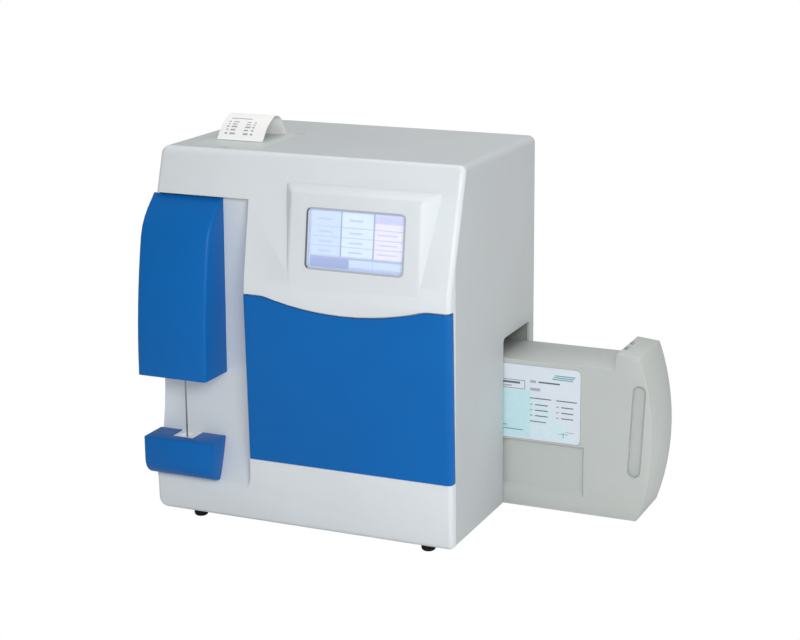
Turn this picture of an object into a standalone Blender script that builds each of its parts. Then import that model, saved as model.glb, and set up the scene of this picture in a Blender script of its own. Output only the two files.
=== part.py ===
"""Bench-top electrolyte analyzer: moulded case, touch screen, sampler, fluidics bay, printer and reagent pack.

Lengths are in metres. The case frame has its origin at the middle of the case's front bottom edge,
with +X to the right of someone facing the front, +Y towards the back and +Z up.
"""

import math

import bmesh
import bpy
from mathutils import Matrix, Vector

mm = 0.001
deg = math.pi / 180

# Case
case_width = 362 * mm
case_depth = 248 * mm
case_height = 410 * mm
case_wall = 3 * mm
top_corner = 8 * mm
left_bottom_corner = 11 * mm
right_bottom_corner = 5 * mm
fit_gap = 0.3 * mm
sheet = 1.5 * mm
pin_gap = 0.3 * mm

# Front profile: the lower part leans forward, the upper part slopes back
front_lean = 1.5 * deg
slope_back = 17.5 * deg
bend_height = 272 * mm
bend_radius = 70 * mm
front_edge_round = 5.5 * mm
side_rim = 11 * mm
top_rim = 7 * mm

# Feet
foot_height = 14 * mm
foot_radius = 8 * mm
foot_inset = 39.5 * mm
front_foot_place = 28 * mm
rear_foot_place = 214 * mm

# Screen frame
frame_tilt = 8 * deg
frame_start_rise = 3 * mm
frame_start_sink = 0.68 * mm
frame_left = -7.1 * mm
frame_width = 152.7 * mm
frame_length = 101.5 * mm
frame_wall = 3 * mm
frame_side_flare = 0.8
frame_top_flare = 0.5
frame_round = 3.6 * mm
window_left = 15 * mm
window_width = 112.2 * mm
window_low = 22.5 * mm
window_length = 63.2 * mm
window_corner = 2.6 * mm
screen_border = 4 * mm
touch_thickness = 1.1 * mm
lcd_thickness = 6.5 * mm

# Sampler recess
scoop_top = 358 * mm
scoop_floor = 25 * mm
scoop_turn = 150 * mm
scoop_top_floor = 29 * mm
scoop_radius = 262 * mm
scoop_low = 10 * mm
scoop_high = 360.5 * mm
scoop_right = -66 * mm
scoop_draft = 0.22
scoop_corner = 8 * mm

# Sampler
sampler_centre = -142.7 * mm
sampler_left = -186.4 * mm
sampler_right = -100.5 * mm
cover_low = 161.8 * mm
cover_top = 359 * mm
cover_front = -23.2 * mm
cover_radius = 731 * mm
cover_top_radius = 40 * mm
cover_top_turn = 43 * mm
cover_top_depth = 7 * mm
cover_wall = 2.5 * mm
cover_round = 3.5 * mm
block_left = -184.2 * mm
block_right = -99.8 * mm
block_low = 42.5 * mm
block_top = 89.5 * mm
block_front = -19.5 * mm
block_curve = 20 * mm
block_round = 2 * mm
cup_width = 26.4 * mm
cup_low = 55 * mm
cup_front = -6 * mm
cup_bore = 3.2 * mm
cup_bore_depth = 30 * mm
cup_drop = 1 * mm
needle_depth = 5 * mm
needle_radius = 0.8 * mm
needle_tip = 78 * mm
probe_travel = 65 * mm
screw_lead = 10 * mm
arm_low = 190 * mm
arm_height = 14 * mm
arm_width = 10 * mm
drive_set_back = 22.5 * mm
rod_radius = 3 * mm
rod_spread = 22 * mm
screw_radius = 4 * mm
carriage_depth = 18 * mm
stepper_side = 42 * mm
stepper_length = 34 * mm

# Front door, in the plane that leans with the lower front
door_left = -60 * mm
door_low = 74 * mm
door_top_drop = 10.7 * mm
door_thickness = 3 * mm
door_proud = 1 * mm
door_side_proud = 0.8 * mm
door_corner = 6.5 * mm
door_wrap = 10.3 * mm
door_dip = 13.7 * mm
door_dip_centre = 58 * mm
door_dip_half = 95 * mm
door_top_gap = 1.2 * mm
door_gap = 0.5 * mm
barrel_radius = 2.5 * mm
door_pin_radius = 0.8 * mm
door_pin_length = 10 * mm
seat_margin = 4 * mm
opening_left = -45 * mm
opening_right = 166 * mm
opening_low = 86 * mm
opening_top_drop = 20.3 * mm
opening_corner = 6 * mm

# Fluidics tray behind the door
tray_wall = 2.5 * mm
tray_margin = 5 * mm
tray_depth = 53 * mm

# Electrode stack
electrode_side = 30 * mm
electrode_height = 22 * mm
electrode_left = -36 * mm
electrode_boss_radius = 8 * mm
electrode_boss = 7 * mm
stack_low = 102 * mm
latch_radius = 6 * mm
latch_arm = 30 * mm
latch_pin_radius = 1.5 * mm

# Peristaltic pump
pump_x = 112 * mm
pump_z = 165 * mm
pump_side = 62 * mm
pump_depth = 22 * mm
pump_track = 24 * mm
tube_radius = 1.6 * mm
roller_radius = 4.5 * mm
roller_circle = 14.6 * mm
roller_count = 3
roller_length = 11 * mm
rotor_flange = 2 * mm
rotor_radius = 18 * mm
shaft_radius = 3 * mm
motor_radius = 18 * mm
motor_length = 40 * mm

# Printer
lid_left = -155 * mm
lid_width = 87.5 * mm
lid_front = 57 * mm
lid_rear = 166 * mm
lid_thickness = 2.5 * mm
lid_gap = 0.4 * mm
lid_corner = 2 * mm
lid_barrel = 3 * mm
lid_pin_radius = 1.2 * mm
lid_boss = 6 * mm
slot_place = 152.5 * mm
slot_width = 2.6 * mm
paper_width = 57.5 * mm
paper_centre = -114 * mm
paper_thickness = 0.4 * mm
notch_radius = 7 * mm
notch_depth = 1.6 * mm
roll_radius = 22 * mm
roll_place = 92 * mm
core_radius = 6 * mm
bucket_wall = 2 * mm
bucket_drop = 60 * mm
bucket_margin = 4 * mm
platen_radius = 5 * mm
platen_depth = 10 * mm
platen_drop = 22 * mm

# Reagent pack
pack_front = 153 * mm
pack_thickness = 79 * mm
pack_low = 1.8 * mm
pack_top = 173.9 * mm
pack_block_top = 192.5 * mm
pack_step = 309 * mm
pack_corner = 337.9 * mm
pack_bulge = 16.2 * mm
pack_length = 286.2 * mm
pack_travel_in = 154 * mm
pack_travel_out = 60 * mm
pack_round = 2.6 * mm
label_right = 271.2 * mm
label_low = 82 * mm
label_high = 168 * mm
label_length = 150 * mm
label_corner = 5 * mm
label_thickness = 0.4 * mm
panel_low = 21.5 * mm
panel_high = 79.7 * mm
panel_right = 275.5 * mm
panel_depth = 4 * mm
panel_slope = 5 * mm
grip_x = 336 * mm
grip_z = 105.5 * mm
grip_length = 106 * mm
grip_width = 15 * mm
grip_depth = 6 * mm
grip_lean = 3 * deg
bay_gap = 2 * mm
bay_top = 197 * mm
bay_wall = 2 * mm
bay_length = 302 * mm
port_length = 8 * mm
port_radius = 2.5 * mm
opening_top = 196.3 * mm
bay_opening_corner = 6 * mm

# Back of the case
rear_inset = 1.7 * mm
rear_sheet = 2 * mm
fan_side = 60 * mm
fan_depth = 15 * mm
fan_x = 95 * mm
fan_z = 310 * mm
fan_bore = 27 * mm
fan_hub = 11 * mm
fan_blades = 7
inlet_x = -150 * mm
inlet_z = 72 * mm
inlet_width = 30 * mm
inlet_height = 62 * mm
inlet_depth = 24 * mm
flange = 2 * mm
serial_z = 150 * mm
bulkhead_place = 140 * mm
bulkhead_drop = 65 * mm
board_left = -60 * mm
board_width = 210 * mm
board_height = 120 * mm
board_thickness = 1.6 * mm
board_drop = 10 * mm
supply_front = 60 * mm
supply_rear = 135 * mm
supply_right = -66 * mm
supply_height = 43.2 * mm

# What follows from these
half_width = case_width / 2
door_high = bend_height - door_top_drop
opening_high = door_high - opening_top_drop
bend_y = -bend_height * math.tan(front_lean)
pack_left = pack_corner - pack_length
pack_rear = pack_front + pack_thickness
rear_face = case_depth - rear_inset - rear_sheet
seat_surface = door_thickness - door_proud + fit_gap
seat_back = seat_surface + case_wall
hinge_x = door_left + barrel_radius
hinge_y = barrel_radius - door_proud


def front_y(z):
    """Depth of the front's surface at a height."""
    lower = -z * math.tan(front_lean)
    upper = bend_y + (z - bend_height) * math.tan(slope_back)
    return max(lower, upper)


def clear_scene():
    for obj in list(bpy.data.objects):
        bpy.data.objects.remove(obj, do_unlink=True)


def new_collection(name):
    collection = bpy.data.collections.new(name)
    bpy.context.scene.collection.children.link(collection)
    return collection


def new_look(name, colour, roughness, metallic=0.0):
    look = bpy.data.materials.new(name)
    look.use_nodes = True
    shader = look.node_tree.nodes["Principled BSDF"]
    shader.inputs["Base Color"].default_value = (*colour, 1)
    shader.inputs["Roughness"].default_value = roughness
    shader.inputs["Metallic"].default_value = metallic
    look.diffuse_color = (*colour, 1)
    return look


clear_scene()
parts = new_collection("electrolyte_analyzer")
cutters = new_collection("cutters")

white_case = new_look("white_case", (0.72, 0.75, 0.77), 0.45)
cover_grey = new_look("cover_grey", (0.58, 0.60, 0.60), 0.5)
blue = new_look("blue", (0.012, 0.14, 0.42), 0.4)
pack_grey = new_look("pack_grey", (0.48, 0.51, 0.49), 0.45)
white = new_look("white", (0.85, 0.85, 0.85), 0.5)
paper = new_look("paper", (0.9, 0.9, 0.88), 0.7)
black = new_look("black", (0.015, 0.015, 0.015), 0.6)
steel = new_look("steel", (0.6, 0.6, 0.6), 0.3, 1.0)
zinc = new_look("zinc", (0.5, 0.52, 0.52), 0.4, 1.0)
glass = new_look("glass", (0.6, 0.75, 0.9), 0.1)
clear = new_look("clear", (0.7, 0.8, 0.85), 0.15)
board_green = new_look("board_green", (0.02, 0.18, 0.06), 0.5)


def link(obj, look, frame):
    """Put a new object in its frame: a part if it has a look, otherwise a cutter that isn't rendered."""
    if look is None:
        cutters.objects.link(obj)
        obj.hide_render = True
        obj.display_type = "WIRE"
    else:
        parts.objects.link(obj)
        obj.data.materials.append(look)
    obj.parent = frame
    return obj


def new_frame(name, place, parent=None, tilt=0.0):
    frame = bpy.data.objects.new(name, None)
    frame.empty_display_size = 0.02
    parts.objects.link(frame)
    frame.parent = parent
    frame.location = place
    frame.rotation_euler.x = tilt
    return frame


def carry(obj, pivot):
    """Hang an object on the empty at its joint's axis, where it stands."""
    obj.parent = pivot
    obj.location = obj.location - pivot.location
    return obj


def mesh_object(name, bm, look, frame, place=(0, 0, 0)):
    bmesh.ops.recalc_face_normals(bm, faces=bm.faces)
    mesh = bpy.data.meshes.new(name)
    bm.to_mesh(mesh)
    bm.free()
    obj = bpy.data.objects.new(name, mesh)
    obj.location = place
    return link(obj, look, frame)


def settle(obj):
    """Replace an object's mesh by what its modifiers make of it."""
    bpy.context.view_layer.update()
    graph = bpy.context.evaluated_depsgraph_get()
    mesh = bpy.data.meshes.new_from_object(obj.evaluated_get(graph))
    obj.modifiers.clear()
    obj.data = mesh
    return obj


def boolean(target, tool, operation="DIFFERENCE"):
    modifier = target.modifiers.new(tool.name, "BOOLEAN")
    modifier.operation = operation
    modifier.object = tool
    return target


def cut(target, *tools):
    for tool in tools:
        boolean(target, tool)
    return target


def join(target, *tools):
    for tool in tools:
        boolean(target, tool, "UNION")
    return target


def bevel(obj, width, segments=2, angle=40 * deg):
    modifier = obj.modifiers.new("rounded_edges", "BEVEL")
    modifier.width = width
    modifier.segments = segments
    modifier.limit_method = "ANGLE"
    modifier.angle_limit = angle
    return obj


def round_edges(obj, radius, chosen, segments=3, sharp=35 * deg):
    """Round the sharp edges whose two ends the test chooses, in the frame that the object hangs on."""
    settle(obj)
    bm = bmesh.new()
    bm.from_mesh(obj.data)
    bmesh.ops.dissolve_limit(bm, angle_limit=0.2 * deg, verts=bm.verts, edges=bm.edges)
    place = obj.location
    edges = [
        edge
        for edge in bm.edges
        if len(edge.link_faces) == 2
        and edge.calc_face_angle() > sharp
        and chosen(place + edge.verts[0].co, place + edge.verts[1].co)
    ]
    bmesh.ops.bevel(bm, geom=edges, offset=radius, segments=segments, profile=0.5, affect="EDGES", clamp_overlap=True)
    bm.to_mesh(obj.data)
    bm.free()
    return obj


def block(name, low, high, look=None, frame=None, rounded_by=0.0, segments=2):
    """A box between two corners, with its origin at its middle."""
    low = Vector(low)
    high = Vector(high)
    bm = bmesh.new()
    bmesh.ops.create_cube(bm, size=1)
    bmesh.ops.scale(bm, vec=high - low, verts=bm.verts)
    obj = mesh_object(name, bm, look, frame, (low + high) / 2)
    if rounded_by:
        bevel(obj, rounded_by, segments)
    return obj


def blocks(name, boxes, look=None, frame=None):
    """Several separate boxes in one cutter."""
    bm = bmesh.new()
    for low, high in boxes:
        low = Vector(low)
        high = Vector(high)
        made = bmesh.ops.create_cube(bm, size=1)
        bmesh.ops.scale(bm, vec=high - low, verts=made["verts"])
        bmesh.ops.translate(bm, vec=(low + high) / 2, verts=made["verts"])
    return mesh_object(name, bm, look, frame)


TURNS = {
    "X": Matrix.Rotation(90 * deg, 4, "Y"),
    "Y": Matrix.Rotation(-90 * deg, 4, "X"),
    "Z": Matrix.Identity(4),
}
PLANES = {
    "XY": Matrix(((1, 0, 0), (0, 1, 0), (0, 0, 1))),
    "XZ": Matrix(((1, 0, 0), (0, 0, -1), (0, 1, 0))),
    "YZ": Matrix(((0, 0, 1), (1, 0, 0), (0, 1, 0))),
}


def rod(name, axis, radius, start, end, look=None, frame=None, sides=20):
    """A round bar between two points that differ only along its axis."""
    start = Vector(start)
    end = Vector(end)
    bm = bmesh.new()
    bmesh.ops.create_cone(
        bm,
        cap_ends=True,
        segments=sides,
        radius1=radius,
        radius2=radius,
        depth=(end - start).length,
    )
    bmesh.ops.transform(bm, matrix=TURNS[axis], verts=bm.verts)
    return mesh_object(name, bm, look, frame, (start + end) / 2)


def solid_from_curve(obj):
    """The welded mesh of a curve object, which is removed."""
    bpy.context.view_layer.update()
    graph = bpy.context.evaluated_depsgraph_get()
    mesh = bpy.data.meshes.new_from_object(obj.evaluated_get(graph))
    bpy.data.objects.remove(obj, do_unlink=True)
    bm = bmesh.new()
    bm.from_mesh(mesh)
    bmesh.ops.remove_doubles(bm, verts=bm.verts, dist=0.00001)
    bmesh.ops.dissolve_limit(bm, angle_limit=0.2 * deg, verts=bm.verts, edges=bm.edges)
    bpy.data.meshes.remove(mesh)
    return bm


def prism(name, plane, outline, start, end, look=None, frame=None):
    """A flat outline pushed through from start to end along the third axis."""
    curve = bpy.data.curves.new(name, "CURVE")
    curve.dimensions = "2D"
    curve.fill_mode = "BOTH"
    curve.extrude = abs(end - start) / 2
    spline = curve.splines.new("POLY")
    spline.points.add(len(outline) - 1)
    for point, (u, v) in zip(spline.points, outline):
        point.co = (u, v, 0, 1)
    spline.use_cyclic_u = True
    guide = bpy.data.objects.new(name, curve)
    cutters.objects.link(guide)
    bm = solid_from_curve(guide)
    turn = PLANES[plane]
    bmesh.ops.transform(bm, matrix=turn.to_4x4(), verts=bm.verts)
    normal = Vector((1, 1, 1)) - Vector([float(axis in plane) for axis in "XYZ"])
    return mesh_object(name, bm, look, frame, normal * (start + end) / 2)


def rounded(corners, step=22.5 * deg):
    """A closed outline of (u, v, radius) corners, with an arc at each corner that has a radius."""
    points = []
    for index, (u, v, radius) in enumerate(corners):
        here = Vector((u, v))
        if radius <= 0:
            points.append(here)
            continue
        before = (Vector(corners[index - 1][:2]) - here).normalized()
        after = (Vector(corners[(index + 1) % len(corners)][:2]) - here).normalized()
        half = before.angle(after) / 2
        centre = here + (before + after).normalized() * radius / math.sin(half)
        first = here + before * radius / math.tan(half) - centre
        turn = math.pi - 2 * half
        side = 1 if before.cross(after) < 0 else -1
        count = max(2, math.ceil(turn / step))
        for k in range(count + 1):
            points.append(centre + Matrix.Rotation(side * turn * k / count, 2) @ first)
    return points


def rectangle(left, right, low, high, radius=0.0):
    return rounded([(left, low, radius), (right, low, radius), (right, high, radius), (left, high, radius)])


def loft(name, loops, look=None, frame=None):
    """A closed solid through rows of points that all have the same count."""
    bm = bmesh.new()
    rings = [[bm.verts.new(point) for point in loop] for loop in loops]
    for ring, following in zip(rings, rings[1:]):
        for k in range(len(ring)):
            bm.faces.new((ring[k - 1], ring[k], following[k], following[k - 1]))
    bm.faces.new(rings[0])
    bm.faces.new(rings[-1])
    return mesh_object(name, bm, look, frame)


def turned(name, profile, look, frame, place, axis="Z", steps=24):
    """A profile of (radius, height) points, from the top of the axis round the outside to its bottom."""
    mesh = bpy.data.meshes.new(name)
    points = [(radius, 0, height) for radius, height in profile]
    mesh.from_pydata(points, [(i, i + 1) for i in range(len(points) - 1)], [])
    obj = bpy.data.objects.new(name, mesh)
    obj.location = place
    if axis == "Y":
        obj.rotation_euler.x = -90 * deg
    link(obj, look, frame)
    screw = obj.modifiers.new("turned", "SCREW")
    screw.steps = steps
    screw.render_steps = steps
    screw.use_merge_vertices = True
    screw.merge_threshold = 0.00001
    return obj


def ribbon(path, thickness):
    """The outline of a strip with this thickness along a flat path."""
    sides = []
    for index, point in enumerate(path):
        ahead = path[min(index + 1, len(path) - 1)] - path[max(index - 1, 0)]
        sides.append((point, Vector((-ahead.y, ahead.x)).normalized() * thickness / 2))
    return [point + side for point, side in sides] + [point - side for point, side in reversed(sides)]


def pipe(name, points, radius, look, frame, resolution=2):
    """A tube or wire along a smooth row of points."""
    curve = bpy.data.curves.new(name, "CURVE")
    curve.dimensions = "3D"
    curve.bevel_depth = radius
    curve.bevel_resolution = resolution
    curve.use_fill_caps = True
    spline = curve.splines.new("POLY")
    spline.points.add(len(points) - 1)
    for point, place in zip(spline.points, points):
        point.co = (*place, 1)
    return link(bpy.data.objects.new(name, curve), look, frame)


def smooth_path(knots, steps=6):
    """Points on a Catmull-Rom curve through the knots."""
    knots = [Vector(knot) for knot in knots]
    ends = [2 * knots[0] - knots[1], *knots, 2 * knots[-1] - knots[-2]]
    points = []
    for a, b, c, d in zip(ends, ends[1:], ends[2:], ends[3:]):
        for k in range(steps):
            t = k / steps
            points.append(
                0.5 * ((2 * b) + (c - a) * t + (2 * a - 5 * b + 4 * c - d) * t * t
                       + (3 * b - a - 3 * c + d) * t * t * t)
            )
    return points + [knots[-1]]


def shade(obj):
    """Smooth shading with sharp edges kept."""
    if obj.type == "MESH" and len(obj.data.polygons):
        obj.data.shade_smooth()
        obj.data.set_sharp_from_angle(angle=35 * deg)


def seam_y(z):
    """Depth of the front moulding's rear edge at a height."""
    return max(side_rim, front_y(z) + top_rim)


def floor_y(z):
    """Depth of the sampler recess's floor at a height."""
    if z > scoop_turn:
        return scoop_floor - (z - scoop_turn) * (scoop_floor - scoop_top_floor) / (scoop_top - scoop_turn)
    return scoop_floor - scoop_radius + math.sqrt(scoop_radius**2 - (scoop_turn - z) ** 2)


def floor_line(low, high, offset=0.0, count=8):
    """Points down the recess's floor from high to low, moved back by an offset."""
    heights = [high]
    if high > scoop_turn > low:
        heights.append(scoop_turn)
    curve_top = min(high, scoop_turn)
    if low < curve_top:
        heights += [curve_top + (low - curve_top) * k / count for k in range(1, count + 1)]
    else:
        heights.append(low)
    return [(floor_y(z) + offset, z) for z in heights]


def case_outline(inset, step=22.5 * deg):
    return rounded(
        [
            (-half_width + inset, inset, left_bottom_corner - inset),
            (half_width - inset, inset, right_bottom_corner - inset),
            (half_width - inset, case_height - inset, top_corner - inset),
            (-half_width + inset, case_height - inset, top_corner - inset),
        ],
        step,
    )


below = -30 * mm
above = case_height + 30 * mm
beyond = half_width + 40 * mm
seam_turn = bend_height + (side_rim - top_rim - bend_y) / math.tan(slope_back)


def front_line(offset=0.0):
    """Corners of the front's surface from its top to its bottom, moved back by an offset."""
    return [
        (front_y(above) + offset, above, 0),
        (bend_y + offset, bend_height, bend_radius),
        (front_y(below) + offset, below, 0),
    ]


def seam_line(offset=0.0):
    """Corners of the seam between front moulding and cover from its bottom to its top."""
    return [
        (side_rim + offset, below, 0),
        (side_rim + offset, seam_turn, 0),
        (front_y(above) + top_rim + offset, above, 0),
    ]


def recess(name, growth):
    """The space of the sampler recess, grown by a wall or a gap and open to the left and the front."""
    left = -half_width - 20 * mm
    front = -90 * mm
    outline = [(front, scoop_high), *floor_line(scoop_low, scoop_high, growth), (front, scoop_low)]
    space = prism(name, "YZ", outline, left, 0, None, root)

    def wall_x(y):
        return scoop_right + (scoop_floor - y) * scoop_draft + growth

    plan = [(left * 2, front * 2), (wall_x(front * 2), front * 2), (wall_x(-front), -front), (left * 2, -front)]
    boolean(space, prism(name + "_plan", "XY", plan, 0, scoop_high * 2, None, root), "INTERSECT")

    def in_corner(a, b):
        return min(a.x, b.x) > scoop_right - 10 * mm and min(a.y, b.y) > front / 2

    return round_edges(space, scoop_corner + growth, in_corner, 4)


# Frames
box_left = sampler_left
box_right = pack_corner + pack_bulge
root = new_frame("case_frame", (-(box_left + box_right) / 2, -(cover_front + case_depth) / 2, foot_height))
front_frame = new_frame("front_frame", (0, 0, 0), root, front_lean)
frame_start_height = bend_height + frame_start_rise
frame_start_depth = front_y(frame_start_height) + frame_start_sink
screen_frame = new_frame("screen_frame", (0, frame_start_depth, frame_start_height), root, -frame_tilt)


# Front moulding
front_fascia = prism("front_fascia", "XZ", case_outline(0, 15 * deg), below, -2 * below, white_case, root)
front_shape = prism(
    "front_shape", "YZ", rounded(seam_line() + front_line(), 5 * deg), -beyond, beyond, None, root
)
boolean(front_fascia, front_shape, "INTERSECT")


def on_front(a, b):
    return all(point.y < seam_y(point.z) - top_rim / 2 for point in (a, b))


round_edges(front_fascia, front_edge_round, on_front)
front_hollow = prism("front_hollow", "XZ", case_outline(case_wall), below * 2, -3 * below, None, root)
hollow_shape = prism(
    "hollow_shape",
    "YZ",
    rounded([(-3 * below, below, 0), (-3 * below, above, 0)] + front_line(case_wall), 5 * deg),
    -beyond,
    beyond,
    None,
    root,
)
boolean(front_hollow, hollow_shape, "INTERSECT")
cut(front_fascia, front_hollow)

liner = recess("recess_liner", case_wall)
liner_bounds = prism("liner_bounds", "XZ", case_outline(0.05 * mm, 15 * deg), below * 2, -3 * below, None, root)
liner_front = prism(
    "liner_front",
    "YZ",
    rounded([(-3 * below, below, 0), (-3 * below, above, 0)] + front_line(case_wall - 0.1 * mm), 5 * deg),
    -beyond,
    beyond,
    None,
    root,
)
boolean(liner, liner_bounds, "INTERSECT")
boolean(liner, liner_front, "INTERSECT")

# Door seat: a step in the front moulding behind the door's shell
door_right = half_width + door_side_proud
seat_side = door_right - door_thickness - fit_gap
barrel_right = door_left + 2 * barrel_radius
barrel_back = 2 * barrel_radius - door_proud
seat_lead = 0.8 * mm
seat_left = door_left - seat_margin
door_seat = prism(
    "door_seat",
    "XY",
    [
        (seat_left, seat_surface - seat_lead),
        (seat_side + seat_lead, seat_surface - seat_lead),
        (seat_side + seat_lead, door_wrap + 2 * mm),
        (seat_side - case_wall, door_wrap + 2 * mm),
        (seat_side - case_wall, seat_back),
        (barrel_right + seat_margin, seat_back),
        (barrel_right + seat_margin, barrel_back + seat_margin),
        (seat_left, barrel_back + seat_margin),
    ],
    door_low - seat_margin,
    door_high + seat_margin,
    None,
    front_frame,
)


def door_outline(gap=0.0, top_gap=0.0):
    """The door seen from the front, with the wave in its top edge."""
    low = door_low - gap
    top = door_high + top_gap
    radius = (door_dip_half**2 + door_dip**2) / (2 * door_dip)
    reach = math.asin(door_dip_half / radius)
    dip = [
        (
            door_dip_centre + radius * math.sin(reach * k / 6),
            top - door_dip + radius * (1 - math.cos(reach * k / 6)),
            0,
        )
        for k in range(5, -6, -1)
    ]
    corners = [
        (door_left - gap, low, 0),
        (beyond, low, 0),
        (beyond, top, 0),
        (door_dip_centre + door_dip_half, top, 40 * mm),
        *dip,
        (door_dip_centre - door_dip_half, top, 40 * mm),
        (door_left - gap, top, 0),
    ]
    return rounded(corners, 5 * deg)


door_pocket = prism(
    "door_pocket",
    "XY",
    rounded(
        [
            (door_left - door_gap, below, 0),
            (beyond, below, 0),
            (beyond, door_wrap + door_gap, 0),
            (seat_side, door_wrap + door_gap, 0),
            (seat_side, seat_surface, door_corner - door_thickness),
            (barrel_right + door_gap, seat_surface, 0),
            (barrel_right + door_gap, barrel_back + door_gap, 2 * mm),
            (door_left - door_gap, barrel_back + door_gap, 2 * mm),
        ]
    ),
    door_low / 2,
    door_high * 1.2,
    None,
    front_frame,
)
pocket_shape = prism(
    "pocket_shape", "XZ", door_outline(door_gap, door_top_gap), 2 * below, -2 * below, None, front_frame
)
boolean(door_pocket, pocket_shape, "INTERSECT")

# Screen frame: a raised wedge that stands more upright than the slope


def wedge(name, depth_from, depth_to, side_inset, top_inset, bottom):
    loops = []
    for y in (depth_from, depth_to):
        left = frame_left - frame_side_flare * y + side_inset
        right = frame_left + frame_width + frame_side_flare * y - side_inset
        top = frame_length + frame_top_flare * y - top_inset
        loops.append([(left, y, bottom), (right, y, bottom), (right, y, top), (left, y, top)])
    return loft(name, loops, None, screen_frame)


def on_frame_edge(a, b):
    return min(a.y, b.y) < 1 * mm and max(a.z, b.z) > frame_length / 2


screen_wedge = round_edges(wedge("screen_wedge", 0, 24 * mm, 0, 0, 0), frame_round, on_frame_edge, 4)
wedge_hollow = wedge("wedge_hollow", frame_wall, 45 * mm, 1.27 * frame_wall, 1.12 * frame_wall, 5 * mm)
screen_window = prism(
    "screen_window",
    "XZ",
    rectangle(
        window_left, window_left + window_width, window_low, window_low + window_length, window_corner
    ),
    -10 * mm,
    frame_wall + 1 * mm,
    None,
    screen_frame,
)
bay_window = prism(
    "bay_window",
    "XZ",
    rectangle(opening_left, opening_right, opening_low, opening_high, opening_corner),
    -10 * mm,
    25 * mm,
    None,
    front_frame,
)
lower_pin_bore = rod(
    "lower_pin_bore",
    "Z",
    door_pin_radius + pin_gap,
    (hinge_x, hinge_y, door_low - door_pin_length / 2 - pin_gap),
    (hinge_x, hinge_y, door_low + door_pin_length / 2 + pin_gap),
    None,
    front_frame,
    12,
)
upper_pin_bore = rod(
    "upper_pin_bore",
    "Z",
    door_pin_radius + pin_gap,
    (hinge_x, hinge_y, door_high - door_pin_length / 2 - pin_gap),
    (hinge_x, hinge_y, door_high + door_pin_length / 2 + pin_gap),
    None,
    front_frame,
    12,
)
arm_slot = block(
    "arm_slot",
    (sampler_centre - arm_width / 2 - 2 * mm, 10 * mm, arm_low - 3 * mm),
    (sampler_centre + arm_width / 2 + 2 * mm, 35 * mm, arm_low + arm_height + probe_travel + 3 * mm),
    None,
    root,
)
join(front_fascia, liner, door_seat, screen_wedge)
cut(front_fascia, recess("recess_space", 0), door_pocket, bay_window, wedge_hollow, screen_window)
cut(front_fascia, lower_pin_bore, upper_pin_bore, arm_slot)
settle(front_fascia)

# Screen
touch_front = frame_wall + fit_gap
touch_panel = prism(
    "touch_panel",
    "XZ",
    rectangle(
        window_left - screen_border,
        window_left + window_width + screen_border,
        window_low - screen_border,
        window_low + window_length + screen_border,
        window_corner,
    ),
    touch_front,
    touch_front + touch_thickness,
    glass,
    screen_frame,
)
lcd_front = touch_front + touch_thickness + fit_gap
lcd_module = block(
    "lcd_module",
    (window_left - screen_border, lcd_front, window_low - 1.5 * screen_border),
    (window_left + window_width + screen_border, lcd_front + lcd_thickness, window_low + window_length + screen_border),
    black,
    screen_frame,
    0.5 * mm,
    1,
)

# Cover over top and sides
main_cover = prism("main_cover", "XZ", case_outline(0, 15 * deg), 0, case_depth, cover_grey, root)
case_inside = prism("case_inside", "XZ", case_outline(case_wall), below, case_depth - below, None, root)
ahead_of_seam = prism(
    "ahead_of_seam",
    "YZ",
    rounded([*seam_line(fit_gap), (3 * below, above, 0), (3 * below, below, 0)]),
    -beyond,
    beyond,
    None,
    root,
)
lip = 14 * mm
right_lip = 8 * mm
bottom_opening = block(
    "bottom_opening",
    (-half_width + lip, below, below),
    (half_width - right_lip, case_depth - below, case_wall + 1 * mm),
    None,
    root,
)
lid_right = lid_left + lid_width
lid_opening = prism(
    "lid_opening",
    "XY",
    rounded(
        [
            (lid_left - lid_gap, lid_front - lid_gap, lid_corner),
            (lid_right + lid_gap, lid_front - lid_gap, lid_corner),
            (lid_right + lid_gap, lid_rear + lid_gap, 0),
            (lid_left - lid_gap, lid_rear + lid_gap, 0),
        ]
    ),
    case_height - 10 * mm,
    case_height + 10 * mm,
    None,
    root,
)
finger_notch = prism(
    "finger_notch",
    "XY",
    rectangle(
        lid_left + lid_width / 2 - notch_radius,
        lid_left + lid_width / 2 + notch_radius,
        lid_front - 8 * mm,
        lid_front - 4.5 * mm,
        1.7 * mm,
    ),
    case_height - notch_depth,
    case_height + 10 * mm,
    None,
    root,
)
pack_opening = prism(
    "pack_opening",
    "YZ",
    rectangle(pack_front - bay_gap - 0.5 * mm, pack_rear + bay_gap + 0.8 * mm, below, opening_top, bay_opening_corner),
    half_width - right_lip - 2 * mm,
    half_width + 10 * mm,
    None,
    root,
)
cut(main_cover, case_inside, ahead_of_seam, bottom_opening, recess("cover_recess", case_wall + fit_gap))
cut(main_cover, lid_opening, finger_notch, pack_opening)
lid_axis_y = lid_rear - lid_barrel
lid_axis_z = case_height - lid_barrel
boss_left_end = lid_left - lid_gap
boss_right_start = lid_right + lid_gap
lid_bosses = blocks(
    "lid_bosses",
    [
        (
            (boss_left_end - lid_boss, lid_axis_y - 5 * mm, lid_axis_z - 5 * mm),
            (boss_left_end, lid_axis_y + 5 * mm, case_height - 1 * mm),
        ),
        (
            (boss_right_start, lid_axis_y - 5 * mm, lid_axis_z - 5 * mm),
            (boss_right_start + lid_boss, lid_axis_y + 5 * mm, case_height - 1 * mm),
        ),
    ],
    None,
    root,
)
join(main_cover, lid_bosses)
lid_pin_length = 2 * lid_boss - 1 * mm
lid_bores = []
lid_pins = []
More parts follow.
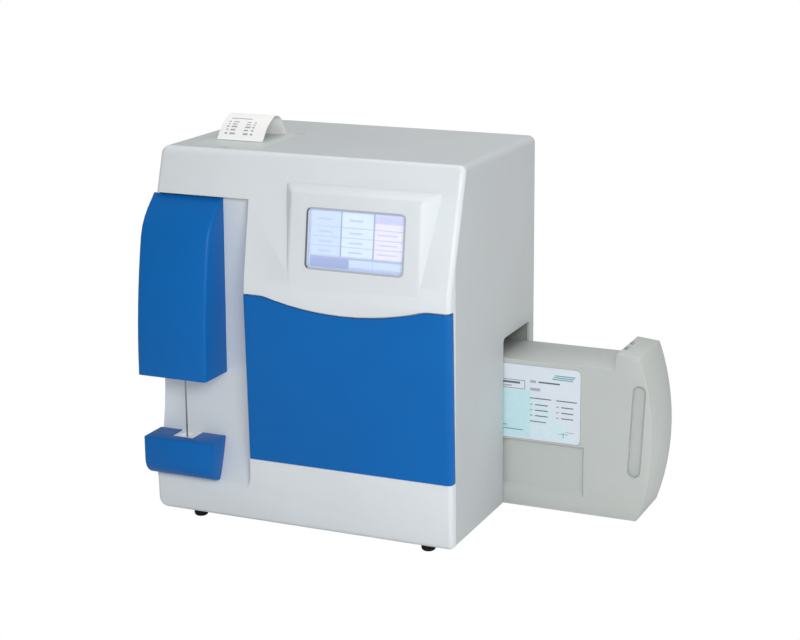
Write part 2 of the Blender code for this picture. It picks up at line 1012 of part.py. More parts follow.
for side, edge in (("left", lid_left - lid_gap / 2), ("right", lid_right + lid_gap / 2)):
    bore = rod(
        "lid_bore_" + side,
        "X",
        lid_pin_radius + pin_gap,
        (edge - lid_pin_length / 2 - pin_gap, lid_axis_y, lid_axis_z),
        (edge + lid_pin_length / 2 + pin_gap, lid_axis_y, lid_axis_z),
        None,
        root,
        16,
    )
    lid_bores.append(bore)
    pin = rod(
        "lid_pin_" + side,
        "X",
        lid_pin_radius,
        (edge - lid_pin_length / 2, lid_axis_y, lid_axis_z),
        (edge + lid_pin_length / 2, lid_axis_y, lid_axis_z),
        None,
        root,
        16,
    )
    lid_pins.append(pin)
cut(main_cover, *lid_bores)

# Printer lid and paper
lid_pivot = new_frame("lid_pivot", (paper_centre, lid_axis_y, lid_axis_z), root)
printer_lid = prism(
    "printer_lid",
    "XY",
    rounded(
        [
            (lid_left, lid_front, lid_corner),
            (lid_right, lid_front, lid_corner),
            (lid_right, lid_axis_y, 0),
            (lid_left, lid_axis_y, 0),
        ]
    ),
    case_height - lid_thickness,
    case_height,
    cover_grey,
    root,
)
lid_tube = rod(
    "lid_tube",
    "X",
    lid_barrel,
    (lid_left, lid_axis_y, lid_axis_z),
    (lid_right, lid_axis_y, lid_axis_z),
    None,
    root,
    24,
)
paper_slot = block(
    "paper_slot",
    (paper_centre - paper_width / 2 - 1 * mm, slot_place - slot_width / 2, case_height - 10 * mm),
    (paper_centre + paper_width / 2 + 1 * mm, slot_place + slot_width / 2, case_height + 5 * mm),
    None,
    root,
)
join(printer_lid, lid_tube, *lid_pins)
cut(printer_lid, paper_slot)
carry(printer_lid, lid_pivot)
paper_path = smooth_path(
    [
        (slot_place, case_height - 4 * mm),
        (slot_place - 0.3 * mm, case_height + 1 * mm),
        (144.5 * mm, case_height + 12 * mm),
        (140 * mm, case_height + 20.5 * mm),
        (130 * mm, case_height + 25 * mm),
        (120.6 * mm, case_height + 23.6 * mm),
        (105.8 * mm, case_height + 14.5 * mm),
        (96.5 * mm, case_height + 3.5 * mm),
        (93.5 * mm, case_height + fit_gap + paper_thickness / 2 + 0.1 * mm),
    ],
    3,
)
paper_strip = prism(
    "paper_strip",
    "YZ",
    ribbon(paper_path, paper_thickness),
    paper_centre - paper_width / 2,
    paper_centre + paper_width / 2,
    paper,
    root,
)
carry(paper_strip, lid_pivot)

# Printer's bucket, roll and mechanism
bucket_low = case_height - bucket_drop
bucket_high = case_height - case_wall - fit_gap
bucket_left = lid_left - bucket_margin
bucket_right = lid_right + bucket_margin
bucket_front = lid_front - bucket_margin
bucket_rear = lid_rear + bucket_margin
printer_bucket = block(
    "printer_bucket", (bucket_left, bucket_front, bucket_low), (bucket_right, bucket_rear, bucket_high), black, root
)
bucket_space = block(
    "bucket_space",
    (bucket_left + bucket_wall, bucket_front + bucket_wall, bucket_low + bucket_wall),
    (bucket_right - bucket_wall, bucket_rear - bucket_wall, case_height + 10 * mm),
    None,
    root,
)
boss_relief = blocks(
    "boss_relief",
    [
        (
            (edge - 8 * mm, lid_axis_y - 6 * mm, lid_axis_z - 6 * mm),
            (edge + 8 * mm, lid_axis_y + 6 * mm, case_height + 5 * mm),
        )
        for edge in (lid_left - 4 * mm, lid_right + 4 * mm)
    ],
    None,
    root,
)
cut(printer_bucket, bucket_space, boss_relief)
roll_z = bucket_low + bucket_wall + fit_gap + roll_radius
paper_roll = rod(
    "paper_roll",
    "X",
    roll_radius,
    (paper_centre - paper_width / 2, roll_place, roll_z),
    (paper_centre + paper_width / 2, roll_place, roll_z),
    paper,
    root,
    36,
)
roll_core = rod(
    "roll_core",
    "X",
    core_radius,
    (paper_centre - paper_width, roll_place, roll_z),
    (paper_centre + paper_width, roll_place, roll_z),
    None,
    root,
    16,
)
cut(paper_roll, roll_core)
platen_y = slot_place - platen_radius - paper_thickness
platen_z = case_height - platen_drop
platen_length = paper_width + 2 * mm
mechanism_low = bucket_low + bucket_wall + fit_gap
print_mechanism = block(
    "print_mechanism",
    (paper_centre - platen_length / 2 - 4 * mm, platen_y - platen_depth, mechanism_low),
    (paper_centre + platen_length / 2 + 4 * mm, bucket_rear - bucket_wall - 1 * mm, platen_z + 8 * mm),
    zinc,
    root,
)
platen_space = block(
    "platen_space",
    (paper_centre - platen_length / 2 - 0.5 * mm, platen_y - 2 * platen_depth, platen_z - 8 * mm),
    (paper_centre + platen_length / 2 + 0.5 * mm, slot_place + 1.5 * mm, platen_z + 20 * mm),
    None,
    root,
)
platen_axle = 2 * mm
platen_bore = rod(
    "platen_bore",
    "X",
    platen_axle + pin_gap,
    (paper_centre - platen_length, platen_y, platen_z),
    (paper_centre + platen_length, platen_y, platen_z),
    None,
    root,
    16,
)
cut(print_mechanism, platen_space, platen_bore)
platen_roller = rod(
    "platen_roller",
    "X",
    platen_radius,
    (paper_centre - platen_length / 2, platen_y, platen_z),
    (paper_centre + platen_length / 2, platen_y, platen_z),
    black,
    root,
    24,
)
platen_ends = rod(
    "platen_ends",
    "X",
    platen_axle,
    (paper_centre - platen_length / 2 - 4 * mm, platen_y, platen_z),
    (paper_centre + platen_length / 2 + 4 * mm, platen_y, platen_z),
    None,
    root,
    16,
)
join(platen_roller, platen_ends)

# Bottom, back and feet
base_plate = block(
    "base_plate",
    (-half_width + lip + fit_gap, side_rim + fit_gap, 0),
    (half_width - right_lip - fit_gap, rear_face - fit_gap, sheet),
    zinc,
    root,
)
base_flange = block(
    "base_flange",
    (-half_width + lip + fit_gap, rear_face - fit_gap - sheet, sheet / 2),
    (half_width - right_lip - fit_gap, rear_face - fit_gap, 14 * mm),
    None,
    root,
)
base_vents = blocks(
    "base_vents",
    [
        ((x * mm, 70 * mm, -5 * mm), ((x + 4) * mm, 125 * mm, 5 * mm))
        for x in range(-40, 130, 12)
    ],
    None,
    root,
)
join(base_plate, base_flange)
cut(base_plate, base_vents)
foot_profile = [
    (0, -fit_gap),
    (foot_radius, -fit_gap),
    (foot_radius, -foot_height + 3 * mm),
    (foot_radius - 0.6 * mm, -foot_height + 1 * mm),
    (foot_radius - 1.8 * mm, -foot_height),
    (0, -foot_height),
]
foot_x = half_width - foot_inset
for name, x, y in (
    ("foot_front_left", -foot_x, front_foot_place),
    ("foot_front_right", foot_x, front_foot_place),
    ("foot_rear_left", -foot_x, rear_foot_place),
    ("foot_rear_right", foot_x, rear_foot_place),
):
    turned(name, foot_profile, black, root, (x, y, 0), "Z", 20)

rear_panel = prism(
    "rear_panel", "XZ", case_outline(case_wall + fit_gap), rear_face, rear_face + rear_sheet, zinc, root
)
grille = blocks(
    "grille",
    [
        (
            (fan_x + (k * 7 - 2) * mm, rear_face - 5 * mm, fan_z - math.sqrt(26**2 - (k * 7) ** 2) * mm),
            (fan_x + (k * 7 + 2) * mm, rear_face + 10 * mm, fan_z + math.sqrt(26**2 - (k * 7) ** 2) * mm),
        )
        for k in range(-3, 4)
    ],
    None,
    root,
)
panel_cutouts = blocks(
    "panel_cutouts",
    [
        (
            (inlet_x - inlet_width / 2 - 0.5 * mm, rear_face - 5 * mm, inlet_z - inlet_height / 2 - 0.5 * mm),
            (inlet_x + inlet_width / 2 + 0.5 * mm, rear_face + 10 * mm, inlet_z + inlet_height / 2 + 0.5 * mm),
        ),
        (
            (inlet_x - 10 * mm, rear_face - 5 * mm, serial_z - 6 * mm),
            (inlet_x + 10 * mm, rear_face + 10 * mm, serial_z + 6 * mm),
        ),
    ],
    None,
    root,
)
cut(rear_panel, grille, panel_cutouts)

# Power inlet with its switch, and the serial port
outside = rear_face + rear_sheet + fit_gap
flange_out = case_depth
power_inlet = block(
    "power_inlet",
    (inlet_x - inlet_width / 2, outside - inlet_depth, inlet_z - inlet_height / 2),
    (inlet_x + inlet_width / 2, flange_out - 0.2 * mm, inlet_z + inlet_height / 2),
    black,
    root,
)
inlet_flange = prism(
    "inlet_flange",
    "XZ",
    rectangle(
        inlet_x - inlet_width / 2 - flange,
        inlet_x + inlet_width / 2 + flange,
        inlet_z - inlet_height / 2 - flange,
        inlet_z + inlet_height / 2 + flange,
        2 * mm,
    ),
    outside,
    flange_out,
    None,
    root,
)
socket_z = inlet_z - 15 * mm
inlet_socket = block(
    "inlet_socket",
    (inlet_x - 12 * mm, flange_out - 16 * mm, socket_z - 8 * mm),
    (inlet_x + 12 * mm, flange_out + 5 * mm, socket_z + 8 * mm),
    None,
    root,
)
inlet_pins = blocks(
    "inlet_pins",
    [
        (
            (inlet_x + (dx - 1) * mm, flange_out - 18 * mm, socket_z + (dz - 2) * mm),
            (inlet_x + (dx + 1) * mm, flange_out - 3 * mm, socket_z + (dz + 2) * mm),
        )
        for dx, dz in ((-7, -1), (0, 3), (7, -1))
    ],
    None,
    root,
)
switch_z = inlet_z + 15 * mm
switch_y = flange_out - 5 * mm
switch_pocket = block(
    "switch_pocket",
    (inlet_x - 9.5 * mm, flange_out - 14 * mm, switch_z - 12 * mm),
    (inlet_x + 9.5 * mm, flange_out + 5 * mm, switch_z + 12 * mm),
    None,
    root,
)
join(power_inlet, inlet_flange)
cut(power_inlet, inlet_socket, switch_pocket)
join(power_inlet, inlet_pins)
power_switch = prism(
    "power_switch",
    "YZ",
    rounded(
        [
            (-4 * mm, -8 * mm, 1 * mm),
            (4.2 * mm, -10 * mm, 1 * mm),
            (3.2 * mm, 0, 20 * mm),
            (4.2 * mm, 10 * mm, 1 * mm),
            (-4 * mm, 8 * mm, 1 * mm),
        ]
    ),
    -9 * mm,
    9 * mm,
    black,
    root,
)
power_switch.location = (inlet_x, switch_y, switch_z)

serial_port = block(
    "serial_port",
    (inlet_x - 9 * mm, outside - 9 * mm, serial_z - 5 * mm),
    (inlet_x + 9 * mm, flange_out, serial_z + 5 * mm),
    steel,
    root,
    1.5 * mm,
)
serial_flange = block(
    "serial_flange",
    (inlet_x - 15.5 * mm, outside, serial_z - 6.3 * mm),
    (inlet_x + 15.5 * mm, outside + 0.8 * mm, serial_z + 6.3 * mm),
    None,
    root,
)
serial_hollow = block(
    "serial_hollow",
    (inlet_x - 8 * mm, flange_out - 6 * mm, serial_z - 4 * mm),
    (inlet_x + 8 * mm, flange_out + 5 * mm, serial_z + 4 * mm),
    None,
    root,
)
join(serial_port, serial_flange)
cut(serial_port, serial_hollow)

# Fan
fan_rear = rear_face - fit_gap
fan_front = fan_rear - fan_depth
fan_frame = block(
    "fan_frame",
    (fan_x - fan_side / 2, fan_front, fan_z - fan_side / 2),
    (fan_x + fan_side / 2, fan_rear, fan_z + fan_side / 2),
    black,
    root,
)
fan_hole = rod(
    "fan_hole",
    "Y",
    fan_bore,
    (fan_x, fan_front - 10 * mm, fan_z),
    (fan_x, fan_rear + 10 * mm, fan_z),
    None,
    root,
    36,
)
fan_stay = rod(
    "fan_stay", "Y", fan_hub, (fan_x, fan_front, fan_z), (fan_x, fan_front + 2 * mm, fan_z), None, root, 24
)
fan_arms = blocks(
    "fan_arms",
    [
        (
            (fan_x - fan_bore - 1 * mm, fan_front + 0.2 * mm, fan_z - 1.5 * mm),
            (fan_x + fan_bore + 1 * mm, fan_front + 1.8 * mm, fan_z + 1.5 * mm),
        ),
    ],
    None,
    root,
)
cut(fan_frame, fan_hole)
join(fan_frame, fan_stay, fan_arms)
fan_rotor = rod(
    "fan_rotor",
    "Y",
    fan_hub,
    (fan_x, fan_front + 2.6 * mm, fan_z),
    (fan_x, fan_rear - 1 * mm, fan_z),
    black,
    root,
    24,
)
blade_bm = bmesh.new()
for k in range(fan_blades):
    made = bmesh.ops.create_cube(blade_bm, size=1)
    bmesh.ops.scale(blade_bm, vec=(16 * mm, 10 * mm, 1.2 * mm), verts=made["verts"])
    bmesh.ops.rotate(blade_bm, matrix=Matrix.Rotation(35 * deg, 3, "X"), verts=made["verts"])
    bmesh.ops.translate(blade_bm, vec=(fan_hub - 1 * mm + 8 * mm, 0, 0), verts=made["verts"])
    bmesh.ops.rotate(blade_bm, matrix=Matrix.Rotation(k * 360 * deg / fan_blades, 3, "Z"), verts=made["verts"])
bmesh.ops.transform(blade_bm, matrix=TURNS["Y"], verts=blade_bm.verts)
blades = mesh_object("blades", blade_bm, None, root, (fan_x, (fan_front + fan_rear) / 2 + 0.8 * mm, fan_z))
join(fan_rotor, blades)

# Sampler cover: a hood whose front curves back to the recess's top


def hood_front(z):
    rise = max(0, z - cover_low - 1 * mm)
    turn = max(0, z - cover_top + cover_top_turn)
    return cover_front + rise**2 / (2 * cover_radius) + turn**2 / (2 * cover_top_radius)


def hood_loop(z, inset, rear):
    front = hood_front(z) + inset
    radius = min(cover_round, max(0.3 * mm, (rear - front) * 0.7))
    left = sampler_left + inset
    right = sampler_right - inset
    arcs = [(1 - math.cos(k * 30 * deg), 1 - math.sin(k * 30 * deg)) for k in range(4)]
    loop = [(left, rear, z)]
    loop += [(left + a * radius, front + b * radius, z) for a, b in arcs]
    loop += [(right - a * radius, front + b * radius, z) for a, b in reversed(arcs)]
    loop += [(right, rear, z)]
    return loop


hood_heights = [cover_low, cover_low + 1 * mm] + [
    cover_low + 1 * mm + (cover_top - cover_top_depth - cover_low - 1 * mm) * (1 - (1 - k / 14) ** 1.6)
    for k in range(1, 15)
]
hood_loops = [hood_loop(z, 0, floor_y(z) - fit_gap) for z in hood_heights]
last = hood_loops[-1]
hood_top_rear = floor_y(cover_top) - fit_gap
hood_loops.append(
    [(x, hood_top_rear - (hood_loops[-1][0][1] - y) * 0.35, cover_top - 0.6 * mm) for x, y, z in last]
)
sampler_cover = loft("sampler_cover", hood_loops, blue, root)
inner_heights = [cover_low + cover_wall + (cover_top - 24 * mm - cover_low - cover_wall) * k / 8 for k in range(9)]
hood_space = loft("hood_space", [hood_loop(z, cover_wall, 40 * mm) for z in inner_heights], None, root)
needle_passage = prism(
    "needle_passage",
    "XY",
    rectangle(
        sampler_centre - 5 * mm, sampler_centre + 5 * mm, needle_depth - 5 * mm, needle_depth + 5 * mm, 4.5 * mm
    ),
    cover_low - 5 * mm,
    cover_low + 5 * mm,
    None,
    root,
)
cut(sampler_cover, hood_space, needle_passage)

# Sampler base with its cup
sampler_base = prism(
    "sampler_base",
    "YZ",
    [
        *rounded(
            [
                (floor_y(block_low) - fit_gap, block_low, 0),
                (block_front, block_low, block_curve),
                (block_front, block_top, 0),
            ],
            15 * deg,
        ),
        *floor_line(block_low + 4 * mm, block_top, -fit_gap, 4),
    ],
    block_left,
    block_right,
    blue,
    root,
)
bevel(sampler_base, block_round)
cup_half = cup_width / 2
cup_notch = block(
    "cup_notch",
    (sampler_centre - cup_half - fit_gap, cup_front - fit_gap, cup_low - fit_gap),
    (sampler_centre + cup_half + fit_gap, scoop_floor + 10 * mm, block_top + 10 * mm),
    None,
    root,
)
cut(sampler_base, cup_notch)
wash_cup = prism(
    "wash_cup",
    "YZ",
    [
        (cup_front, block_top - cup_drop),
        *floor_line(cup_low, block_top - cup_drop, -fit_gap, 4),
        (cup_front, cup_low),
    ],
    sampler_centre - cup_half,
    sampler_centre + cup_half,
    white,
    root,
)
cup_hole = rod(
    "cup_hole",
    "Z",
    cup_bore,
    (sampler_centre, needle_depth, block_top - cup_bore_depth),
    (sampler_centre, needle_depth, block_top + 10 * mm),
    None,
    root,
    20,
)
cup_funnel = turned(
    "cup_funnel",
    [(0, 6 * mm), (8 * mm, 6 * mm), (8 * mm, 0), (cup_bore, -3 * mm), (0, -3 * mm)],
    None,
    root,
    (sampler_centre, needle_depth, block_top - cup_drop),
    "Z",
    24,
)
cut(wash_cup, cup_hole, cup_funnel)

# Probe drive behind the recess
arm_top = arm_low + arm_height
frame_low = 155 * mm
frame_high = 340 * mm
frame_front = max(floor_y(frame_high), front_y(frame_high)) + case_wall / math.cos(slope_back) + fit_gap
drive_depth = frame_front + drive_set_back
carriage_front = drive_depth - carriage_depth / 2
carriage_rear = drive_depth + carriage_depth / 2
carriage_half = rod_spread + rod_radius + 4 * mm
carriage_height = 25 * mm
probe_carriage = block(
    "probe_carriage",
    (sampler_centre - carriage_half, carriage_front, arm_low),
    (sampler_centre + carriage_half, carriage_rear, arm_low + carriage_height),
    black,
    root,
)
arm = block(
    "arm",
    (sampler_centre - arm_width / 2, needle_depth - 4 * mm, arm_low),
    (sampler_centre + arm_width / 2, carriage_front + 1 * mm, arm_top),
    None,
    root,
)
needle_bore = rod(
    "needle_bore",
    "Z",
    needle_radius + pin_gap,
    (sampler_centre, needle_depth, arm_low - 5 * mm),
    (sampler_centre, needle_depth, arm_top + 5 * mm),
    None,
    root,
    16,
)
join(probe_carriage, arm)
cut(probe_carriage, needle_bore)
shelf = 5 * mm
frame_half = rod_spread + rod_radius + 8 * mm
frame_rear = carriage_rear + 3 * mm
drive_frame = block(
    "drive_frame",
    (sampler_centre - frame_half, frame_front, frame_low),
    (sampler_centre + frame_half, frame_rear + 2 * mm, frame_high),
    zinc,
    root,
)
drive_space = block(
    "drive_space",
    (sampler_centre - 2 * frame_half, frame_front - 20 * mm, frame_low + shelf),
    (sampler_centre + 2 * frame_half, frame_rear, frame_high - shelf),
    None,
    root,
)
cut(drive_frame, drive_space)
for name, x in (("guide_rod_left", sampler_centre - rod_spread), ("guide_rod_right", sampler_centre + rod_spread)):
    rod(
        name,
        "Z",
        rod_radius,
        (x, drive_depth, frame_low + 0.5 * mm),
        (x, drive_depth, frame_high - 0.5 * mm),
        steel,
        root,
        16,
    )
    hole = rod(
        name + "_bore",
        "Z",
        rod_radius + pin_gap,
        (x, drive_depth, frame_low - 5 * mm),
        (x, drive_depth, frame_high + 5 * mm),
        None,
        root,
        16,
    )
    cut(probe_carriage, hole)
    cut(drive_frame, hole)
screw_low = frame_low - 7 * mm
lead_screw = rod(
    "lead_screw",
    "Z",
    screw_radius,
    (sampler_centre, drive_depth, screw_low),
    (sampler_centre, drive_depth, frame_high - 0.5 * mm),
    steel,
    root,
    16,
)
screw_bore = rod(
    "screw_bore",
    "Z",
    screw_radius + pin_gap,
    (sampler_centre, drive_depth, screw_low - pin_gap),
    (sampler_centre, drive_depth, frame_high + 5 * mm),
    None,
    root,
    16,
)
cut(probe_carriage, screw_bore)
cut(drive_frame, screw_bore)
stepper_motor = block(
    "stepper_motor",
    (
        sampler_centre - stepper_side / 2,
        drive_depth - stepper_side / 2,
        frame_low - fit_gap - stepper_length,
    ),
    (sampler_centre + stepper_side / 2, drive_depth + stepper_side / 2, frame_low - fit_gap),
    black,
    root,
    3 * mm,
    1,
)
cut(stepper_motor, screw_bore)
probe_needle = turned(
    "probe_needle",
    [
        (0, arm_top + 2 * mm),
        (needle_radius, arm_top + 2 * mm),
        (needle_radius, needle_tip + 2 * mm),
        (0.2 * mm, needle_tip),
        (0, needle_tip),
    ],
    steel,
    root,
    (sampler_centre, needle_depth, 0),
    "Z",
    12,
)

# Front door
door_pivot = new_frame("door_pivot", (hinge_x, hinge_y, (door_low + door_high) / 2), front_frame)
front_door = prism(
    "front_door",
    "XY",
    rounded(
        [
            (door_left, -door_proud, barrel_radius - 0.1 * mm),
            (door_right, -door_proud, door_corner),
            (door_right, door_wrap, 0.8 * mm),
            (door_right - door_thickness, door_wrap, 0.8 * mm),
            (door_right - door_thickness, door_thickness - door_proud, door_corner - door_thickness),
            (barrel_right, door_thickness - door_proud, 0),
            (barrel_right, barrel_back, 1.9 * mm),
            (door_left, barrel_back, barrel_radius - 0.1 * mm),
        ],
        18 * deg,
    ),
    door_low / 2,
    door_high * 1.2,
    blue,
    front_frame,
)
door_shape = prism("door_shape", "XZ", door_outline(), 2 * below, -2 * below, None, front_frame)
boolean(front_door, door_shape, "INTERSECT")
settle(front_door)
cut(front_door, lower_pin_bore, upper_pin_bore)
settle(front_door)
carry(front_door, door_pivot)
for name, z in (("door_pin_lower", door_low), ("door_pin_upper", door_high)):
    rod(
        name,
        "Z",
        door_pin_radius,
        (hinge_x, hinge_y, z - door_pin_length / 2),
        (hinge_x, hinge_y, z + door_pin_length / 2),
        steel,
        front_frame,
        12,
    )

# Fluidics tray
tray_left = opening_left - tray_margin
tray_right = opening_right + tray_margin
tray_low = opening_low - tray_margin
tray_high = opening_high + tray_margin
tray_front = seat_back + fit_gap
tray_rear = tray_front + tray_depth
tray_floor = tray_rear - tray_wall
fluidics_tray = block(
    "fluidics_tray", (tray_left, tray_front, tray_low), (tray_right, tray_rear, tray_high), white, front_frame
)
tray_space = block(
    "tray_space",
    (tray_left + tray_wall, tray_front - 5 * mm, tray_low + tray_wall),
    (tray_right - tray_wall, tray_floor, tray_high - tray_wall),
    None,
    front_frame,
)
pump_rear = tray_floor - fit_gap
pump_front = pump_rear - pump_depth
shaft_end = tray_rear + fit_gap + 7 * mm
shaft_bore = rod(
    "shaft_bore",
    "Y",
    shaft_radius + pin_gap,
    (pump_x, pump_front - 5 * mm, pump_z),
    (pump_x, shaft_end + pin_gap, pump_z),
    None,
    front_frame,
    20,
)
cut(fluidics_tray, tray_space, shaft_bore)

# Electrode stack
electrode_right = electrode_left + electrode_side
rail_front = tray_floor - fit_gap - 5.5 * mm
electrode_rear = rail_front - fit_gap
electrode_front = electrode_rear - electrode_side
stack_names = ("electrode_reference", "electrode_chloride", "electrode_sodium", "electrode_potassium", "sample_detector")
stack_looks = (white, clear, clear, clear, black)
for k, (name, look) in enumerate(zip(stack_names, stack_looks)):
    low = stack_low + k * (electrode_height + fit_gap)
    electrode = block(
        name,
        (electrode_left, electrode_front, low),
        (electrode_right, electrode_rear, low + electrode_height),
        look,
        front_frame,
    )
    middle = low + electrode_height / 2
    centre = (electrode_left + electrode_right) / 2
    boss = rod(
        name + "_boss",
        "Y",
        electrode_boss_radius,
        (centre, electrode_front - electrode_boss, middle),
        (centre, electrode_front + 1 * mm, middle),
        None,
        front_frame,
        24,
    )
    join(electrode, boss)
stack_high = stack_low + 5 * electrode_height + 4 * fit_gap
latch_z = stack_high + latch_radius + 1 * mm
latch_y = electrode_rear - latch_radius - 0.5 * mm
electrode_rail = block(
    "electrode_rail",
    (electrode_left - 4 * mm, rail_front, stack_low - 6 * mm),
    (electrode_right + 4 * mm, tray_floor - fit_gap, latch_z + 7 * mm),
    zinc,
    front_frame,
)
rail_shelf = block(
    "rail_shelf",
    (electrode_left - 4 * mm, electrode_front, stack_low - 6 * mm),
    (electrode_right + 4 * mm, rail_front + 1 * mm, stack_low - fit_gap),
    None,
    front_frame,
)
rail_ears = blocks(
    "rail_ears",
    [
        (
            (x - 1.5 * mm, latch_y - 5 * mm, stack_high + 2 * mm),
            (x + 1.5 * mm, rail_front + 1 * mm, latch_z + 5 * mm),
        )
        for x in (electrode_left + 1 * mm, electrode_right - 1 * mm)
    ],
    None,
    front_frame,
)
latch_bore = rod(
    "latch_bore",
    "X",
    latch_pin_radius + pin_gap,
    (electrode_left - 10 * mm, latch_y, latch_z),
    (electrode_right + 10 * mm, latch_y, latch_z),
    None,
    front_frame,
    16,
)
join(electrode_rail, rail_shelf, rail_ears)
cut(electrode_rail, latch_bore)
latch_pivot = new_frame("latch_pivot", ((electrode_left + electrode_right) / 2, latch_y, latch_z), front_frame)
electrode_latch = rod(
    "electrode_latch",
    "X",
    latch_radius,
    (electrode_left + 3.5 * mm, latch_y, latch_z),
    (electrode_right - 3.5 * mm, latch_y, latch_z),
    blue,
    front_frame,
    24,
)
latch_pins = rod(
    "latch_pins",
    "X",
    latch_pin_radius,
    (electrode_left - 0.5 * mm, latch_y, latch_z),
    (electrode_right + 0.5 * mm, latch_y, latch_z),
    None,
    front_frame,
    16,
)
latch_lever = block(
    "latch_lever",
    (electrode_left + 8 * mm, latch_y - latch_arm, latch_z - 2 * mm),
    (electrode_right - 8 * mm, latch_y, latch_z + 2 * mm),
    None,
    front_frame,
)
join(electrode_latch, latch_pins, latch_lever)
carry(electrode_latch, latch_pivot)

# Peristaltic pump
pump_low = pump_z - pump_side / 2
pump_head = block(
    "pump_head",
    (pump_x - pump_side / 2, pump_front, pump_low),
    (pump_x + pump_side / 2, pump_rear, pump_z + pump_side / 2),
    pack_grey,
    front_frame,
    2 * mm,
    1,
)
track_floor = pump_rear - 3.6 * mm
pump_space = rod(
    "pump_space",
    "Y",
    pump_track,
    (pump_x, pump_front - 5 * mm, pump_z),
    (pump_x, track_floor, pump_z),
    None,
    front_frame,
    40,
)
tube_circle = pump_track - tube_radius - fit_gap
leg_space = blocks(
    "leg_space",
    [
        (
            (x - tube_radius - 0.8 * mm, pump_front - 5 * mm, pump_low - 5 * mm),
            (x + tube_radius + 0.8 * mm, track_floor, pump_z),
        )
        for x in (pump_x - tube_circle, pump_x + tube_circle)
    ],
    None,
    front_frame,
)
cut(pump_head, pump_space, leg_space, shaft_bore)
rear_flange = track_floor - 0.5 * mm - rotor_flange
roller_rear = rear_flange - fit_gap
roller_front = roller_rear - roller_length
front_flange = roller_front - fit_gap - rotor_flange
pump_rotor = rod(
    "pump_rotor",
    "Y",
    shaft_radius,
    (pump_x, front_flange + 0.5 * mm, pump_z),
    (pump_x, shaft_end, pump_z),
    zinc,
    front_frame,
    20,
)
front_disc = rod(
    "front_disc",
    "Y",
    rotor_radius,
    (pump_x, front_flange, pump_z),
    (pump_x, front_flange + rotor_flange, pump_z),
    None,
    front_frame,
    30,
)
rear_disc = rod(
    "rear_disc",
    "Y",
    rotor_radius,
    (pump_x, rear_flange, pump_z),
    (pump_x, rear_flange + rotor_flange, pump_z),
    None,
    front_frame,
    30,
)
join(pump_rotor, front_disc, rear_disc)
roller_pin = 1.2 * mm
for k in range(roller_count):
    angle = 90 * deg + k * 2 * math.pi / roller_count
    x = pump_x + roller_circle * math.cos(angle)
    z = pump_z + roller_circle * math.sin(angle)
    number = str(k + 1)
    roller = rod(
        "pump_roller_" + number, "Y", roller_radius, (x, roller_front, z), (x, roller_rear, z), white, front_frame, 16
    )
    hole = rod(
        "roller_hole_" + number,
        "Y",
        roller_pin + pin_gap,
        (x, roller_front - 5 * mm, z),
        (x, roller_rear + 5 * mm, z),
        None,
        front_frame,
        12,
    )
    cut(roller, hole)
    pin = rod(
        "roller_pin_" + number,
        "Y",
        roller_pin,
        (x, front_flange + 0.5 * mm, z),
        (x, rear_flange + rotor_flange - 0.5 * mm, z),
        None,
        front_frame,
        12,
    )
    join(pump_rotor, pin)
tube_y = (roller_front + roller_rear) / 2
manifold_top = pump_low - 12 * mm
manifold_low = manifold_top - 16 * mm
fluid_manifold = block(
    "fluid_manifold",
    (pump_x - 45 * mm, tube_y - 8 * mm, manifold_low),
    (pump_x + 35 * mm, tray_floor - fit_gap, manifold_top),
    clear,
    front_frame,
    1.5 * mm,
    1,
)
tube_end = manifold_top - 5 * mm
tube_points = [(pump_x - tube_circle, tube_y, tube_end), (pump_x - tube_circle, tube_y, pump_low)]
for k in range(17):
    angle = math.pi - k * math.pi / 16
    tube_points.append(
        (pump_x + tube_circle * math.cos(angle), tube_y, pump_z + tube_circle * math.sin(angle))
    )
tube_points += [(pump_x + tube_circle, tube_y, pump_low), (pump_x + tube_circle, tube_y, tube_end)]
pump_tube = pipe("pump_tube", tube_points, tube_radius, clear, front_frame)
for k, x in enumerate((pump_x - tube_circle, pump_x + tube_circle)):
    port = rod(
        "tube_port_" + str(k + 1),
        "Z",
        tube_radius + pin_gap,
        (x, tube_y, tube_end - pin_gap),
        (x, tube_y, manifold_top + 5 * mm),
        None,
        front_frame,
        12,
    )
    cut(fluid_manifold, port)
sample_tube = pipe(
    "sample_tube",
    smooth_path(
        [
            (electrode_right + fit_gap, tube_y - 4 * mm, stack_low + 6 * mm),
            (electrode_right + 14 * mm, tube_y - 3 * mm, stack_low + 5 * mm),
            (electrode_right + 32 * mm, tube_y - 1 * mm, manifold_low + 9 * mm),
            (pump_x - 45 * mm - 10 * mm, tube_y, manifold_low + 8 * mm),
            (pump_x - 45 * mm - fit_gap, tube_y, manifold_low + 8 * mm),
        ]
    ),
    1.2 * mm,
    clear,
    front_frame,
)
pump_motor = rod(
    "pump_motor",
    "Y",
    motor_radius,
    (pump_x, tray_rear + fit_gap, pump_z),
    (pump_x, tray_rear + fit_gap + motor_length, pump_z),
    black,
    front_frame,
    30,
)
cut(pump_motor, shaft_bore)

